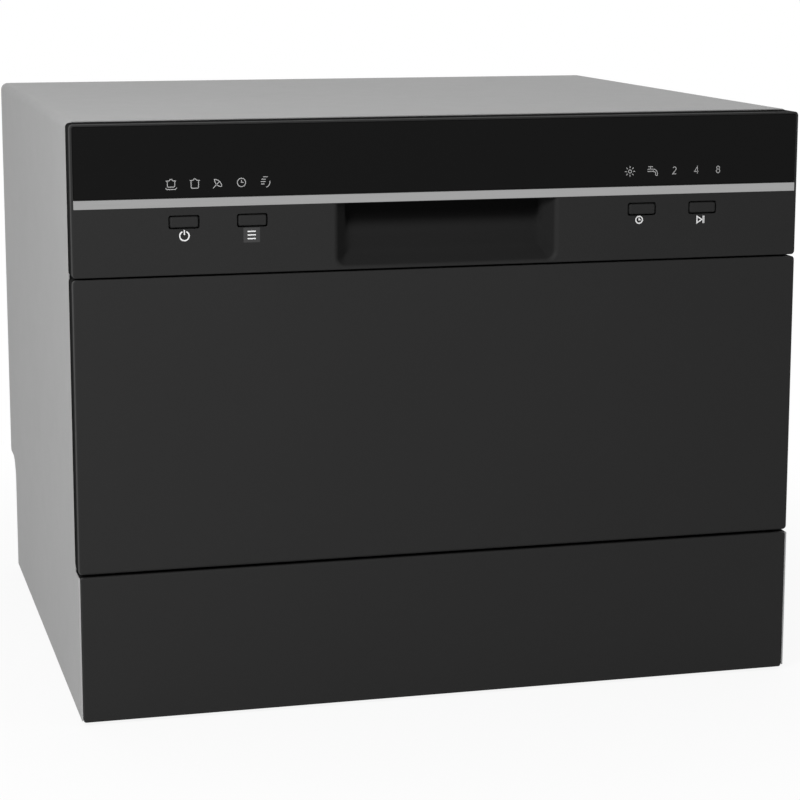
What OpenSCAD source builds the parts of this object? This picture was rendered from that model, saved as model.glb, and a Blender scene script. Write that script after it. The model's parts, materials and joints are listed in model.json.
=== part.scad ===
// Countertop dishwasher for six place settings, with a drop-down door.
// Millimetres. X runs to the right and Y to the back, as seen from in front. Z = 0 is the table.

/* [Casing] */
// Width over the casing and the door
body_w = 550; // [544:1:556]
// Depth from the button faces to the rear edge of the casing
body_d = 500; // [498:1:510]
// Height from the table to the top of the casing
body_h = 438; // [438:1:444]
// Thickness of the casing sheet
sheet_t = 1; // [0.8:0.1:1]
// Bend radius of the casing's top edges
bend_r = 6; // [4:1:8]
// Height of the feet below the casing
foot_h = 4; // [3.5:0.5:4]
// Height of the hose bay under the rear of the casing
bay_h = 101.5; // [96:0.5:102]
// Depth of the hose bay
bay_d = 40; // [36:1:42]
// Radius of the hose bay's upper corner
bay_r = 20; // [14:1:22]

/* [Front] */
// Height of the kick panel's top edge
kick_top = 111; // [109:0.5:111]
// Height of the door's lower edge
door_bottom = 113; // [113:0.5:114]
// Height of the seam between the door panel and the control panel
seam_z = 328; // [326:1:330]
// Width of that seam
seam_w = 1.4; // [1:0.1:2]
// Thickness of the door in front of the casing
door_t = 19.6; // [19.6:0.1:20]
// Radius of the front's upright edges
edge_r = 2; // [1:0.5:3]
// Radius of the door's lower front edge
toe_r = 4; // [4:0.5:5]
// Height of the trim strip's lower edge
strip_z = 377.2; // [376:0.2:379]
// Height of the trim strip
strip_h = 6.5; // [5:0.5:7]

/* [Grip] */
// Width of the recessed grip
grip_w = 169; // [160:1:176]
// Depth of the recessed grip at its foot
grip_d = 11; // [9:0.5:12]
// How far its walls lean in
grip_draft = 11; // [8:0.5:12]

/* [Buttons] */
// Width of a button
button_w = 21.5; // [18:0.5:24]
// Height of a button
button_h = 8.8; // [8:0.2:10]
// Height of the buttons' middle
button_z = 366.6; // [364:0.2:367]
// How far a button stands out of the panel
button_proud = 0.6; // [0.4:0.1:0.8]

/* [Hinge] */
// Distance of the hinge axis behind the door's face
hinge_in = 7; // [7:0.1:7.4]
// Distance of the hinge axis above the door's lower edge
hinge_up = 9; // [9:0.1:9.4]
// Radius of the hinge pin
hinge_pin_r = 3; // [2.5:0.1:3]

/* [Tub] */
// Half width of the tub, over the sheet
tub_hw = 238; // [236:1:238]
// Height of the tub's underside
tub_z0 = 137; // [137:0.1:137.2]
// Height of the tub's roof
tub_z1 = 418; // [414:1:418]
// Position of the tub's rear wall
tub_back = 170; // [166:1:176]
// Radius of the tub's long corners
tub_r = 24; // [16:1:28]

/* [Basket] */
// Half width of the basket
basket_hw = 206; // [205:0.5:206]
// Height of the basket's floor
basket_z0 = 169.5; // [169.5:0.5:170]
// Height of the basket's rim
basket_z1 = 300; // [290:1:310]
// Width of the basket's bars
bar = 3.5; // [3:0.1:4]
// Bars across the basket's floor
bars_x = 14; // [8:1:16]
// Bars along the basket's floor
bars_y = 11; // [8:1:14]
// Plate tines in a row
tine_n = 10; // [6:1:11]
// Radius of a basket wheel
wheel_r = 9; // [8.5:0.1:9]

/* [Spray arm] */
// Reach of the spray arm from its pillar
spray_reach = 172; // [150:1:175]
// Jets on each side
jets = 5; // [3:1:6]

/* [Hidden] */
$fn = 64;

half_w = body_w / 2;
rear_y = body_d / 2;
face_y = -body_d / 2 + button_proud;       // front face of the door and the kick panel
door_back = face_y + door_t;               // rear face of the door
casing_front = door_back + 0.5;
door_top = body_h - 1;
bay_y = rear_y - bay_d;
inner_w = half_w - sheet_t;                // inside of the casing's sides
inner_top = body_h - sheet_t;
axis_y = face_y + hinge_in;
axis_z = door_bottom + hinge_up;
frame_y = casing_front + 4.3;              // front face of the frame round the tub
frame_t = 3;
mouth_y = frame_y + frame_t;               // front edge of the tub
bulge_y = door_back + 14.8;                // the liner's face inside the tub
tray_front = face_y + 1.8;
tray_back = bay_y - 2.8;
tray_wall = 34;                            // height of the tray's rim
tub_floor = tub_z0 + 1;
button_x = [-194.5, -145.2, 150.5, 198.7];
liner_screw_x = 264;
liner_screw_z = [180, 290];                // in the door panel's sides
liner_screw_high = 400;                    // in the control panel's sides
liner_top_screws = [-200, -80, 80, 200];
liner_top_z = 431;
liner_screw_places = [
    for (x = [-liner_screw_x, liner_screw_x], z = concat(liner_screw_z, [liner_screw_high])) [x, z],
    for (x = liner_top_screws) [x, liner_top_z],
];
disp_z = 282;                              // middle of the detergent dispenser
cap_x = 56;                                // middle of the rinse-aid cap
spray_y = -20;
sump_x = 95;
sump_y = -75;
sump_r = 57;
pump_z = 96;
pump_y = 34;                               // front of the wash pump's housing
drain_x = 168;                             // left end of the drain pump
drain_z = 84;
drain_out_z = 68;
salt_x = -110;
salt_y = -75;
float_x = -160;
float_y = 135;
valve_x = -150;
valve_z = 50;
hose_y = 190;                              // where the inlet hose climbs
softener_hose_y = -30;
tank_x = -half_w + 16;
basket_y0 = -184;
basket_y1 = 150;
wheel_x = basket_hw - 6;
wheel_y = [-103, 110];
rail_top = tub_floor + 12.5;
wheel_z = rail_top + wheel_r + 0.3;
net_rows = 4;                              // level bars in the basket's walls
net_z0 = basket_z0 + bar / 2;
shelf_x = -basket_hw + 10;
shelf_z = net_z0 + bar / 2 + 2 * (basket_z1 - net_z0 - bar) / (net_rows - 1);
arm_x0 = half_w - 4.8;                     // inner face of a hinge arm
bracket_x0 = half_w - 9;                   // inner face of a hinge bracket
foot_places = [for (x = [-225, 225], y = [-205, 165]) [x, y]];

// 2D helpers

// a rectangle from (x0, y0) to (x1, y1) with round corners
module round_rect(x0, y0, x1, y1, r) {
    translate([x0 + r, y0])
    square([x1 - x0 - 2 * r, y1 - y0]);
    translate([x0, y0 + r])
    square([x1 - x0, y1 - y0 - 2 * r]);
    for (x = [x0 + r, x1 - r], y = [y0 + r, y1 - r])
        translate([x, y])
        circle(r);
}

// drawn in X and Z, from y0 to y1
module along_y(y0, y1) {
    translate([0, y1, 0])
    rotate([90, 0, 0])
    linear_extrude(y1 - y0)
    children();
}

// drawn in Y and Z, from x0 to x1
module along_x(x0, x1) {
    translate([x0, 0, 0])
    rotate([90, 0, 90])
    linear_extrude(x1 - x0)
    children();
}

// a box between two corners
module block(a, b) {
    translate(a)
    cube(b - a);
}

// a round bar from one end, along X, Y or Z
module rod_x(p, r, l) {
    translate(p)
    rotate([0, 90, 0])
    cylinder(r = r, h = l);
}

module rod_y(p, r, l) {
    translate(p + [0, l, 0])
    rotate([90, 0, 0])
    cylinder(r = r, h = l);
}

module rod_z(p, r, l) {
    translate(p)
    cylinder(r = r, h = l);
}

module both_sides() {
    children();
    mirror([1, 0, 0])
    children();
}

// Casing

// the hose bay's outline, grown by g
module bay_outline(g) {
    r = bay_r + g;
    translate([bay_y - g + r, -20])
    square([100, bay_h + g + 20]);
    translate([bay_y - g, -20])
    square([r + 1, bay_h + g + 20 - r]);
    translate([bay_y - g + r, bay_h + g - r])
    circle(r);
}

module wrap_outline(t) {
    round_rect(-half_w + t, -40, half_w - t, body_h - t, bend_r - t);
}

module casing() {
    color("silver")
    difference() {
        union() {
            along_y(face_y, rear_y)
            difference() {
                wrap_outline(0);
                wrap_outline(sheet_t);
            }
            // flange that the rear panel is screwed to
            along_y(rear_y - 4.6, rear_y - 3.6)
            difference() {
                wrap_outline(sheet_t / 2);
                translate([-half_w + 13, -40])
                square([body_w - 26, body_h + 27]);
                translate([-half_w, -41])
                square([body_w, bay_h + 44]);
            }
        }
        block([-half_w - 1, face_y - 1, -50], [half_w + 1, rear_y + 1, foot_h]);
        // the door takes the place of the front edge above the kick panel
        block([-half_w - 1, face_y - 1, kick_top], [half_w + 1, casing_front, body_h + 1]);
        along_x(-half_w - 1, half_w + 1)
        bay_outline(0);
        // round the corner above the hose bay
        along_x(-half_w - 1, half_w + 1)
        difference() {
            translate([rear_y - 5, bay_h - 1])
            square(6);
            translate([rear_y - 5, bay_h + 5])
            circle(5);
            translate([rear_y - 6, bay_h + 5])
            square([7, 2]);
        }
    }
}

screw_x = inner_w - 6;
screw_places = [
    for (z = [125, 270, 415]) [-screw_x, z],
    for (z = [125, 270, 415]) [screw_x, z],
    [-150, inner_top - 7],
    [150, inner_top - 7],
];

module rear_panel() {
    y1 = rear_y - 2.5;
    w = inner_w - 0.3;
    color("gainsboro")
    difference() {
        union() {
            along_x(-w, w)
            intersection() {
                difference() {
                    bay_outline(1.2);
                    bay_outline(0.2);
                }
                translate([0, foot_h + 4])
                square([y1, 200]);
            }
            along_y(y1 - 1, y1)
            difference() {
                wrap_outline(sheet_t + 0.3);
                translate([-half_w, -50])
                square([body_w, bay_h + 50.2]);
            }
        }
        for (p = screw_places)
            rod_y([p[0], y1 - 5, p[1]], 2, 10);
        // two groups of cooling slots
        for (x = [-160, 160], i = [0:7])
            block([x - 45, y1 - 5, 190 + 14 * i], [x + 45, y1 + 5, 195 + 14 * i]);
        // holes for the nozzle, the spigot and the cord
        rod_y([valve_x, bay_y - 10, valve_z], 14, 20);
        rod_y([drain_x + 10, bay_y - 10, drain_out_z], 10, 20);
        rod_y([60, bay_y - 10, 45], 8, 20);
    }
}

module rear_screws() {
    y1 = rear_y - 2.5;
    color("gray")
    for (p = screw_places) {
        rod_y([p[0], y1, p[1]], 3.8, 2);
        rod_y([p[0], y1 - 1, p[1]], 1.9, 1.2);
    }
}

module base_tray() {
    color("dimgray")
    difference() {
        union() {
            difference() {
                block([-half_w + 3.5, tray_front, foot_h], [half_w - 3.5, tray_back, tray_wall]);
                block([-half_w + 6, tray_front + 2.5, foot_h + 3], [half_w - 6, tray_back - 2.5, tray_wall + 1]);
            }
            for (p = foot_places)
                rod_z([p[0], p[1], foot_h], 9, 14);
            // pillars under the tub
            for (x = [-222, 222], y = [-190, 140])
                rod_z([x, y, foot_h], 8, tub_z0 - foot_h - 0.2);
            // cradles under the pumps
            block([sump_x - 14, pump_y + 42, foot_h], [sump_x + 14, pump_y + 96, pump_z - 34]);
            block([drain_x + 28, sump_y - 8, foot_h], [drain_x + 62, sump_y + 8, drain_z - 20]);
        }
        for (p = foot_places)
            rod_z([p[0], p[1], foot_h - 1], 4, 11);
    }
}

module feet() {
    color("black")
    for (p = foot_places) {
        rod_z([p[0], p[1], 0], 15, foot_h);
        rod_z([p[0], p[1], foot_h - 1], 3.95, 10);
    }
}

// a plate profile in X and Y with round front corners
module front_plan(w, y0, y1, r) {
    translate([-w, y0 + r])
    square([2 * w, y1 - y0 - r]);
    translate([-w + r, y0])
    square([2 * (w - r), y1 - y0]);
    for (x = [-w + r, w - r])
        translate([x, y0 + r])
        circle(r);
}

// a block with round upright front edges and round lower and upper front edges
module front_block(w, y1, z0, z1, r_low, r_high) {
    intersection() {
        translate([0, 0, z0])
        linear_extrude(z1 - z0)
        front_plan(w, face_y, y1, edge_r);
        along_x(-w - 1, w + 1)
        union() {
            translate([face_y + r_low, z0])
            square([y1 - face_y - r_low, z1 - z0]);
            translate([face_y + r_high, z0 + r_low])
            square([y1 - face_y - r_high, z1 - z0 - r_low]);
            translate([face_y, z0 + r_low])
            square([y1 - face_y, z1 - z0 - r_low - r_high]);
            translate([face_y + r_low, z0 + r_low])
            circle(r_low);
            translate([face_y + r_high, z1 - r_high])
            circle(r_high);
        }
    }
}

module kick_panel() {
    w = inner_w - 0.3;
    color([0.2, 0.2, 0.2])
    difference() {
        front_block(w, face_y + 13, foot_h, kick_top, 0.8, 1.2);
        block([-w + 1.4, face_y + 1.4, foot_h - 1], [w - 1.4, face_y + 14, kick_top - 1.4]);
    }
}

// the opening in the frame, as wide as the tub inside
module mouth_outline(g) {
    round_rect(-tub_hw + 1 - g, tub_floor - g, tub_hw - 1 + g, tub_z1 - 1 + g, tub_r - 1 + g);
}

module front_frame() {
    color("dimgray")
    difference() {
        along_y(frame_y, mouth_y)
        difference() {
            wrap_outline(sheet_t + 0.5);
            translate([-half_w, -50])
            square([body_w, tray_wall + 52]);
            mouth_outline(0);
        }
        both_sides()
        block([half_w - 13, frame_y - 1, door_bottom - 1], [half_w, mouth_y + 1, axis_z + 34]);
        // way for the strike
        block([-12, frame_y - 1, inner_top - 8], [12, mouth_y + 1, inner_top + 1]);
    }
}

// Door

// the step in the door's rear edges that the liner's rim lies in
module liner_seat() {
    w = half_w - 2.6;
    block([-w, door_back - 0.9, door_bottom - 1], [w, door_back + 1, door_top - 2.6]);
}

// blocks beside the door's rear edges that the liner's screws bite into
module side_boss(z) {
    both_sides()
    difference() {
        block([liner_screw_x - 4, door_back - 5.2, z - 4], [half_w - 0.9, door_back - 0.9, z + 4]);
        rod_y([liner_screw_x, door_back - 6, z], 1.85, 8);
    }
}

module door_panel() {
    color([0.2, 0.2, 0.2])
    for (z = liner_screw_z)
        side_boss(z);
    color([0.2, 0.2, 0.2])
    difference() {
        front_block(half_w, door_back, door_bottom, seam_z - seam_w / 2, toe_r, 0.8);
        // open behind, with a narrow return along the lower edge
        block([-half_w + 1, face_y + 1, door_bottom + 1], [half_w - 1, door_back + 1, seam_z - 2]);
        block([-half_w + 1, face_y + 4, door_bottom - 1], [half_w - 1, door_back + 1, seam_z - 10]);
        liner_seat();
        // the returns' lower corners are rounded about the hinge axis
        difference() {
            block([-half_w - 1, axis_y + 2, door_bottom - 1], [half_w + 1, door_back + 1, axis_z]);
            rod_x([-half_w - 2, axis_y, axis_z], door_t - hinge_in + 0.2, body_w + 4);
        }
    }
}

// the grip's hollow; g widens it into the moulding's wall round it
module grip_hollow(g) {
    foot = seam_z + 3 - g;
    hull() {
        along_y(face_y - 1, face_y)
        round_rect(-grip_w / 2 - g, foot, grip_w / 2 + g, strip_z + g, 6);
        along_y(face_y + grip_d + g - 1, face_y + grip_d + g)
        round_rect(-grip_w / 2 + grip_draft - g, foot + 12, grip_w / 2 - grip_draft + g, strip_z + g, 6);
    }
    // the deeper part that the fingers hook into
    block([-grip_w / 2 + 14 - g, face_y + 4, strip_z - 14 - g],
          [grip_w / 2 - 14 + g, face_y + grip_d + 3.5 + g, strip_z + 16 + g]);
}

module control_panel() {
    z0 = seam_z + seam_w / 2;
    color([0.2, 0.2, 0.2])
    difference() {
        union() {
            difference() {
                front_block(half_w, door_back, z0, door_top, 0.8, 1.5);
                block([-half_w + 2.5, face_y + 3, z0 + 2], [half_w - 2.5, door_back + 1, door_top - 2.5]);
                liner_seat();
            }
            intersection() {
                grip_hollow(1.5);
                block([-half_w + 2, face_y + 1, z0 + 0.5], [half_w - 2, door_back - 1, door_top - 2]);
            }
            side_boss(liner_screw_high);
            for (x = liner_top_screws)
                block([x - 4, door_back - 5.2, liner_top_z - 4], [x + 4, door_back - 0.9, door_top - 2]);
        }
        for (x = liner_top_screws)
            rod_y([x, door_back - 6, liner_top_z], 1.85, 8);
        grip_hollow(0);
        for (x = button_x)
            along_y(face_y - 1, face_y + 5)
            round_rect(x - button_w / 2 - 0.4, button_z - button_h / 2 - 0.4,
                       x + button_w / 2 + 0.4, button_z + button_h / 2 + 0.4, 1.6);
        // seats of the inlay and the strip
        along_y(face_y - 1, face_y + 1.6)
        round_rect(-half_w + 3.3, strip_z + strip_h + 0.4, half_w - 3.3, door_top - 1.6, 1.4);
        block([-half_w + 2.2, face_y - 1, strip_z], [half_w - 2.2, face_y + 1.1, strip_z + strip_h]);
    }
}

module control_glass() {
    color([0.08, 0.08, 0.08])
    along_y(face_y + 0.2, face_y + 1.5)
    round_rect(-half_w + 4, strip_z + strip_h + 0.8, half_w - 4, door_top - 2.3, 1);
}

module trim_strip() {
    color([0.7, 0.7, 0.7])
    along_y(face_y, face_y + 1)
    round_rect(-half_w + 2.4, strip_z + 0.1, half_w - 2.4, strip_z + strip_h - 0.1, 0.5);
}

module button(i) {
    x = button_x[i];
    w = button_w / 2;
    h = button_h / 2;
    color([0.16, 0.16, 0.16]) {
        along_y(face_y - button_proud, face_y + 3.5)
        round_rect(x - w, button_z - h, x + w, button_z + h, 1.2);
        // flange that keeps it behind the panel, and the stem on the switch
        along_y(face_y + 3.4, face_y + 4.6)
        round_rect(x - w - 1.6, button_z - h - 1.2, x + w + 1.6, button_z + h + 1.2, 1.2);
        rod_y([x, face_y + 4.5, button_z], 2, 3.3);
    }
}

module power_button() {
    button(0);
}

module programme_button() {
    button(1);
}

module timer_button() {
    button(2);
}

module start_button() {
    button(3);
}

module control_boards() {
    y0 = face_y + 12;
    color("darkgreen") {
        both_sides()
        block([112, y0, 344], [226, y0 + 1.6, 402]);
        for (x = button_x)
            block([x - 3, y0 - 2.2, button_z - 3], [x + 3, y0 + 0.1, button_z + 3]);
        both_sides()
        for (i = [0:4])
            rod_y([136 + 17 * i, y0 - 5, 394], 1.5, 5.1);
    }
}

module door_insulation() {
    color("tan")
    block([-243, face_y + 1.2, axis_z + 12], [243, door_back - 1.2, seam_z - 6]);
}

module liner_outline() {
    difference() {
        round_rect(-half_w + 3, axis_z + 6, half_w - 3, door_top - 3, 4);
        both_sides()
        translate([half_w - 17, 0])
        square([20, axis_z + 34]);
    }
}

module bulge_outline(g) {
    round_rect(-222 + g, axis_z + 30 + g, 222 - g, 404 - g, 22 - g);
}

module door_liner() {
    color("lightgray")
    difference() {
        union() {
            along_y(door_back - 0.8, door_back)
            liner_outline();
            along_y(door_back - 0.8, bulge_y)
            bulge_outline(0);
        }
        along_y(door_back - 1, bulge_y - 0.8)
        bulge_outline(0.8);
        block([-100.3, door_back - 2, disp_z - 40.3], [80.3, bulge_y + 1, disp_z + 40.3]);
        for (p = liner_screw_places)
            rod_y([p[0], door_back - 2, p[1]], 1.85, 3);
    }
}

module liner_screws() {
    color("gray")
    for (p = liner_screw_places) {
        rod_y([p[0], door_back - 4, p[1]], 1.8, 4.1);
        rod_y([p[0], door_back, p[1]], 2.6, 1.2);
    }
}

module door_strike() {
    color("gray")
    block([-9, door_back, inner_top - 6.5], [9, mouth_y + 19, inner_top - 3.5]);
}

module door_lock() {
    y0 = mouth_y + 3;
    color("black")
    difference() {
        block([-28, y0, tub_z1 + 5.2], [28, y0 + 49, inner_top - 0.5]);
        block([-11, y0 - 1, inner_top - 8], [11, y0 + 22, inner_top - 1.5]);
    }
}

// Hinges: a fixed bracket each side, and an arm in the door with the pin

module hinge_brackets() {
    color("darkgray")
    both_sides()
    along_x(bracket_x0, bracket_x0 + 3)
    difference() {
        union() {
            translate([axis_y, axis_z])
            circle(6);
            translate([axis_y, axis_z - 2])
            square([55, 8]);
            translate([axis_y + 40, foot_h + 3.2])
            square([15, axis_z - foot_h]);
        }
        translate([axis_y, axis_z])
        circle(hinge_pin_r + 0.05);
    }
}

module hinge_arms() {
    color("darkgray")
    both_sides() {
        along_x(arm_x0, arm_x0 + 3) {
            translate([axis_y, axis_z])
            circle(6);
            translate([axis_y - 4, axis_z])
            square([11, 180]);
            translate([axis_y, axis_z - 4])
            square([30, 8]);
        }
        rod_x([bracket_x0 - 2, axis_y, axis_z], hinge_pin_r, 9);
        // stand-offs to the door panel's side
        for (z = [40, 160])
            rod_x([arm_x0 + 2.9, axis_y + 1, axis_z + z], 3, 0.9);
    }
}

module door_springs() {
    z0 = tray_wall + 2;
    h = axis_z - 4.4 - z0;
    color("gray")
    both_sides()
    translate([bracket_x0 + 2, axis_y + 29, z0])
    difference() {
        cylinder(r = 4.5, h = h);
        translate([0, 0, 3])
        cylinder(r = 3, h = h - 6);
    }
}

// Detergent dispenser, set in the door liner

module dispenser() {
    y0 = door_back - 1.2;
    y1 = bulge_y + 1.3;
    color([0.25, 0.25, 0.28])
    difference() {
        union() {
            block([-100, y0, disp_z - 40], [80, y1, disp_z + 40]);
            // guides above and below the lid
            for (z = [disp_z - 37.4, disp_z + 32.5])
                block([-99, y1 - 1, z], [38, y1 + 4, z + 4.9]);
        }
        block([-34, y1 - 14.5, disp_z - 28], [30, y1 + 1, disp_z + 28]);
        rod_y([cap_x, y1 - 11, disp_z], 17, 12);
    }
}

module dispenser_lid() {
    y1 = bulge_y + 1.3;
    color([0.35, 0.35, 0.38]) {
        block([-38, y1 + 0.3, disp_z - 32.1], [34, y1 + 3, disp_z + 32.1]);
        // finger ridge
        block([22, y1 + 2.9, disp_z - 22], [28, y1 + 6, disp_z + 22]);
    }
}

module rinse_cap() {
    y1 = bulge_y + 1.3;
    color([0.3, 0.45, 0.6]) {
        rod_y([cap_x, y1 - 9, disp_z], 16.92, 9.4);
        rod_y([cap_x, y1 + 0.3, disp_z], 20, 3);
        block([cap_x - 15, y1 + 3.2, disp_z - 3], [cap_x + 15, y1 + 8, disp_z + 3]);
    }
}

// Tub

module tub() {
    color("lightgray")
    difference() {
        union() {
            along_y(mouth_y, tub_back)
            round_rect(-tub_hw, tub_z0, tub_hw, tub_z1, tub_r);
            along_y(mouth_y, mouth_y + 1)
            round_rect(-tub_hw - 12, tub_z0 - 10, tub_hw + 12, tub_z1 + 10, tub_r + 6);
        }
        along_y(mouth_y - 1, tub_back - 1)
        round_rect(-tub_hw + 1, tub_floor, tub_hw - 1, tub_z1 - 1, tub_r - 1);
        rod_z([sump_x, sump_y, tub_z0 - 1], sump_r - 1, 3);
        rod_z([0, spray_y, tub_z0 - 1], 9.5, 3);
        rod_z([salt_x, salt_y, tub_z0 - 1], 30.3, 3);
        rod_z([float_x, float_y, tub_z0 - 1], 4.4, 3);
    }
}

module tub_insulation() {
    color("dimgray")
    along_y(mouth_y + 4, tub_back - 4)
    difference() {
        round_rect(-tub_hw - 4.2, tub_z0 + 20, tub_hw + 4.2, tub_z1 + 4.2, tub_r + 4);
        round_rect(-tub_hw - 0.3, tub_z0 - 40, tub_hw + 0.3, tub_z1 + 0.3, tub_r);
        translate([-half_w, 0])
        square([body_w, tub_z0 + 50]);
    }
}

module tub_gasket() {
    color("black")
    along_y(casing_front - 0.1, frame_y - 0.1)
    difference() {
        mouth_outline(11);
        mouth_outline(1.5);
        translate([-half_w, 0])
        square([body_w, tub_z0 + 16]);
    }
}

module sill_seal() {
    color("black")
    block([-tub_hw + 6, casing_front - 0.1, tub_floor - 9], [tub_hw - 6, frame_y - 0.1, tub_floor - 2.5]);
}

module basket_rails() {
    color("darkgray")
    both_sides()
    along_y(bulge_y + 1.5, tub_back - 8) {
        translate([wheel_x - 9, rail_top - 2])
        square([22, 2]);
        translate([wheel_x + 11, tub_floor + 2.2])
        square([2, rail_top + 5 - tub_floor - 2.2]);
        translate([wheel_x - 9, tub_floor])
        square([2, rail_top - tub_floor]);
    }
}

// Basket

// a net of bars between two corners, nx by ny bars
module net(x0, y0, x1, y1, nx, ny) {
    px = (x1 - x0 - bar) / (nx - 1);
    py = (y1 - y0 - bar) / (ny - 1);
    difference() {
        translate([x0, y0])
        square([x1 - x0, y1 - y0]);
        for (i = [0:nx - 2], j = [0:ny - 2])
            translate([x0 + bar + i * px, y0 + bar + j * py])
            square([px - bar, py - bar]);
    }
}

module basket() {
    w = basket_hw;
    color([0.75, 0.75, 0.78]) {
        translate([0, 0, basket_z0])
        linear_extrude(bar)
        net(-w, basket_y0, w, basket_y1, bars_x, bars_y);
        for (y = [basket_y0, basket_y1 - bar])
            along_y(y, y + bar)
            net(-w, net_z0, w, basket_z1, bars_x, net_rows);
        for (x = [-w, w - bar])
            along_x(x, x + bar)
            net(basket_y0 + bar / 2, net_z0, basket_y1 - bar / 2, basket_z1, bars_y, net_rows);
        // plate tines
        for (y = [10, 95], i = [0:tine_n - 1])
            block([-148 + 27 * i, y, basket_z0 + 1], [-148 + 27 * i + bar, y + bar, basket_z0 + 78]);
        for (y = [10, 95])
            block([-w + 1, y, basket_z0 + 0.2], [w - 1, y + bar, basket_z0 + bar]);
        // straps and axles of the wheels
        both_sides()
        for (y = wheel_y) {
            block([w - 1.5, y - 4, wheel_z - 4], [w + 1.5, y + 4, basket_z0 + bar]);
            rod_x([w - 10, y, wheel_z], 2, 9);
        }
        // rod that the cup shelf turns on
        rod_y([shelf_x, basket_y0 + 1, shelf_z], 2, basket_y1 - basket_y0 - 2);
    }
}

module wheel(side, y) {
    x0 = side > 0 ? wheel_x - 3 : -wheel_x - 3;
    color("gray")
    difference() {
        rod_x([x0, y, wheel_z], wheel_r, 6);
        rod_x([x0 - 1, y, wheel_z], 2.05, 8);
    }
}

module wheel_front_left() {
    wheel(-1, wheel_y[0]);
}

module wheel_front_right() {
    wheel(1, wheel_y[0]);
}

module wheel_rear_left() {
    wheel(-1, wheel_y[1]);
}

module wheel_rear_right() {
    wheel(1, wheel_y[1]);
}

module cup_shelf() {
    color([0.55, 0.55, 0.58])
    difference() {
        union() {
            translate([0, 0, shelf_z - 1.75])
            linear_extrude(bar)
            net(shelf_x + 3.5, -140, shelf_x + 84, 120, 4, 9);
            for (y = [-110, 70])
                rod_y([shelf_x, y, shelf_z], 4.4, 20);
        }
        rod_y([shelf_x, -150, shelf_z], 2.05, 300);
    }
}

module cutlery_basket() {
    z0 = basket_z0 + bar + 0.3;
    z1 = z0 + 100;
    color([0.45, 0.45, 0.48])
    difference() {
        block([126, -150, z0], [198, 60, z1]);
        block([128.5, -147.5, z0 + 2.5], [195.5, 57.5, z1 + 1]);
        // slots in the walls
        for (i = [0:8])
            block([120, -142 + 22.5 * i, z0 + 12], [204, -142 + 22.5 * i + 12, z1 - 14]);
        for (i = [0:2])
            block([132 + 21 * i, -160, z0 + 12], [132 + 21 * i + 14, 70, z1 - 14]);
        // slots in the floor
        for (i = [0:12])
            block([132, -142 + 15 * i, z0 - 1], [192, -142 + 15 * i + 6, z0 + 3]);
    }
}

// Spray arm and filters

module spray_pillar() {
    color("dimgray") {
        rod_z([0, spray_y, 84], 12, tub_z0 - 84.3);
        rod_z([0, spray_y, tub_z0 - 1], 9, 11);
        rod_z([0, spray_y, tub_floor + 0.2], 16, 2);
        rod_z([0, spray_y, 146], 5, 16);
        rod_y([0, spray_y + 10, pump_z], 9, 14);
    }
}

module spray_arm() {
    z0 = 148.2;
    color([0.3, 0.3, 0.32])
    translate([0, spray_y, 0])
    difference() {
        union() {
            rod_z([0, 0, z0 - 1], 18, 14);
            for (a = [0, 180])
                rotate([0, 0, a])
                translate([0, 0, z0])
                linear_extrude(8) {
                    polygon([[0, -17], [spray_reach - 40, -12], [spray_reach - 11, 2], [spray_reach - 16, 18],
                             [spray_reach - 50, 14], [0, 17]]);
                    translate([spray_reach - 11, 10])
                    circle(11);
                }
        }
        rod_z([0, 0, 140], 5.05, 30);
        // jets
        for (a = [0, 180], i = [0:jets - 1])
            rotate([0, 0, a])
            block([40 + 24 * i, -2, z0 + 6], [46 + 24 * i, 1, z0 + 9]);
    }
}

module spray_nut() {
    color("black")
    difference() {
        rod_z([0, spray_y, 161.5], 14, 5);
        rod_z([0, spray_y, 161], 5.02, 3);
    }
}

module sump() {
    z0 = 80;
    color("black")
    difference() {
        union() {
            rod_z([sump_x, sump_y, z0], sump_r, tub_z0 - 0.2 - z0);
            rod_z([sump_x, sump_y, tub_z0 - 3], sump_r + 8, 2.8);
            rod_y([sump_x, sump_y + sump_r - 4, pump_z], 12, 24);
            rod_x([sump_x + sump_r - 4, sump_y, drain_z + 8], 9, 18);
        }
        rod_z([sump_x, sump_y, z0 + 3], sump_r - 2.5, 80);
        rod_y([sump_x, sump_y + sump_r - 8, pump_z], 9.5, 40);
        rod_x([sump_x + sump_r - 8, sump_y, drain_z + 8], 7, 30);
    }
}

module filter_plate() {
    color("silver")
    difference() {
        rod_z([sump_x, sump_y, tub_floor + 0.2], sump_r + 6, 1.5);
        rod_z([sump_x, sump_y, tub_floor - 1], 31, 4);
        for (r = [38, 46, 54], a = [0:15:345])
            translate([sump_x, sump_y, tub_floor - 1])
            rotate([0, 0, a])
            block([r - 2, -1.5, 0], [r + 2, 1.5, 4]);
    }
}

module filter_cylinder() {
    z0 = 86;
    color([0.4, 0.4, 0.42])
    translate([sump_x, sump_y, 0])
    difference() {
        union() {
            rod_z([0, 0, z0], 30, 56);
            block([-29, -3, z0 + 54], [29, 3, z0 + 59]);
        }
        difference() {
            rod_z([0, 0, z0 + 2], 27.8, 70);
            block([-29, -3, z0 + 52], [29, 3, z0 + 59]);
        }
    }
}

// Pumps, heater and hoses in the base

module wash_pump() {
    y0 = pump_y;
    color("gray")
    difference() {
        union() {
            rod_y([sump_x, y0, pump_z], 39, 32);
            rod_y([sump_x, y0 + 32, pump_z], 33.8, 84);
            rod_y([sump_x, y0 - 14, pump_z], 12, 15);
            rod_x([sump_x - 56, y0 + 16, pump_z], 9, 20);
        }
        rod_y([sump_x, y0 + 3, pump_z], 35, 26);
        rod_y([sump_x, y0 - 15, pump_z], 9.5, 20);
        rod_x([sump_x - 57, y0 + 16, pump_z], 7, 30);
        rod_y([sump_x, y0 + 20, pump_z], 4.04, 80);
    }
}

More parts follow.
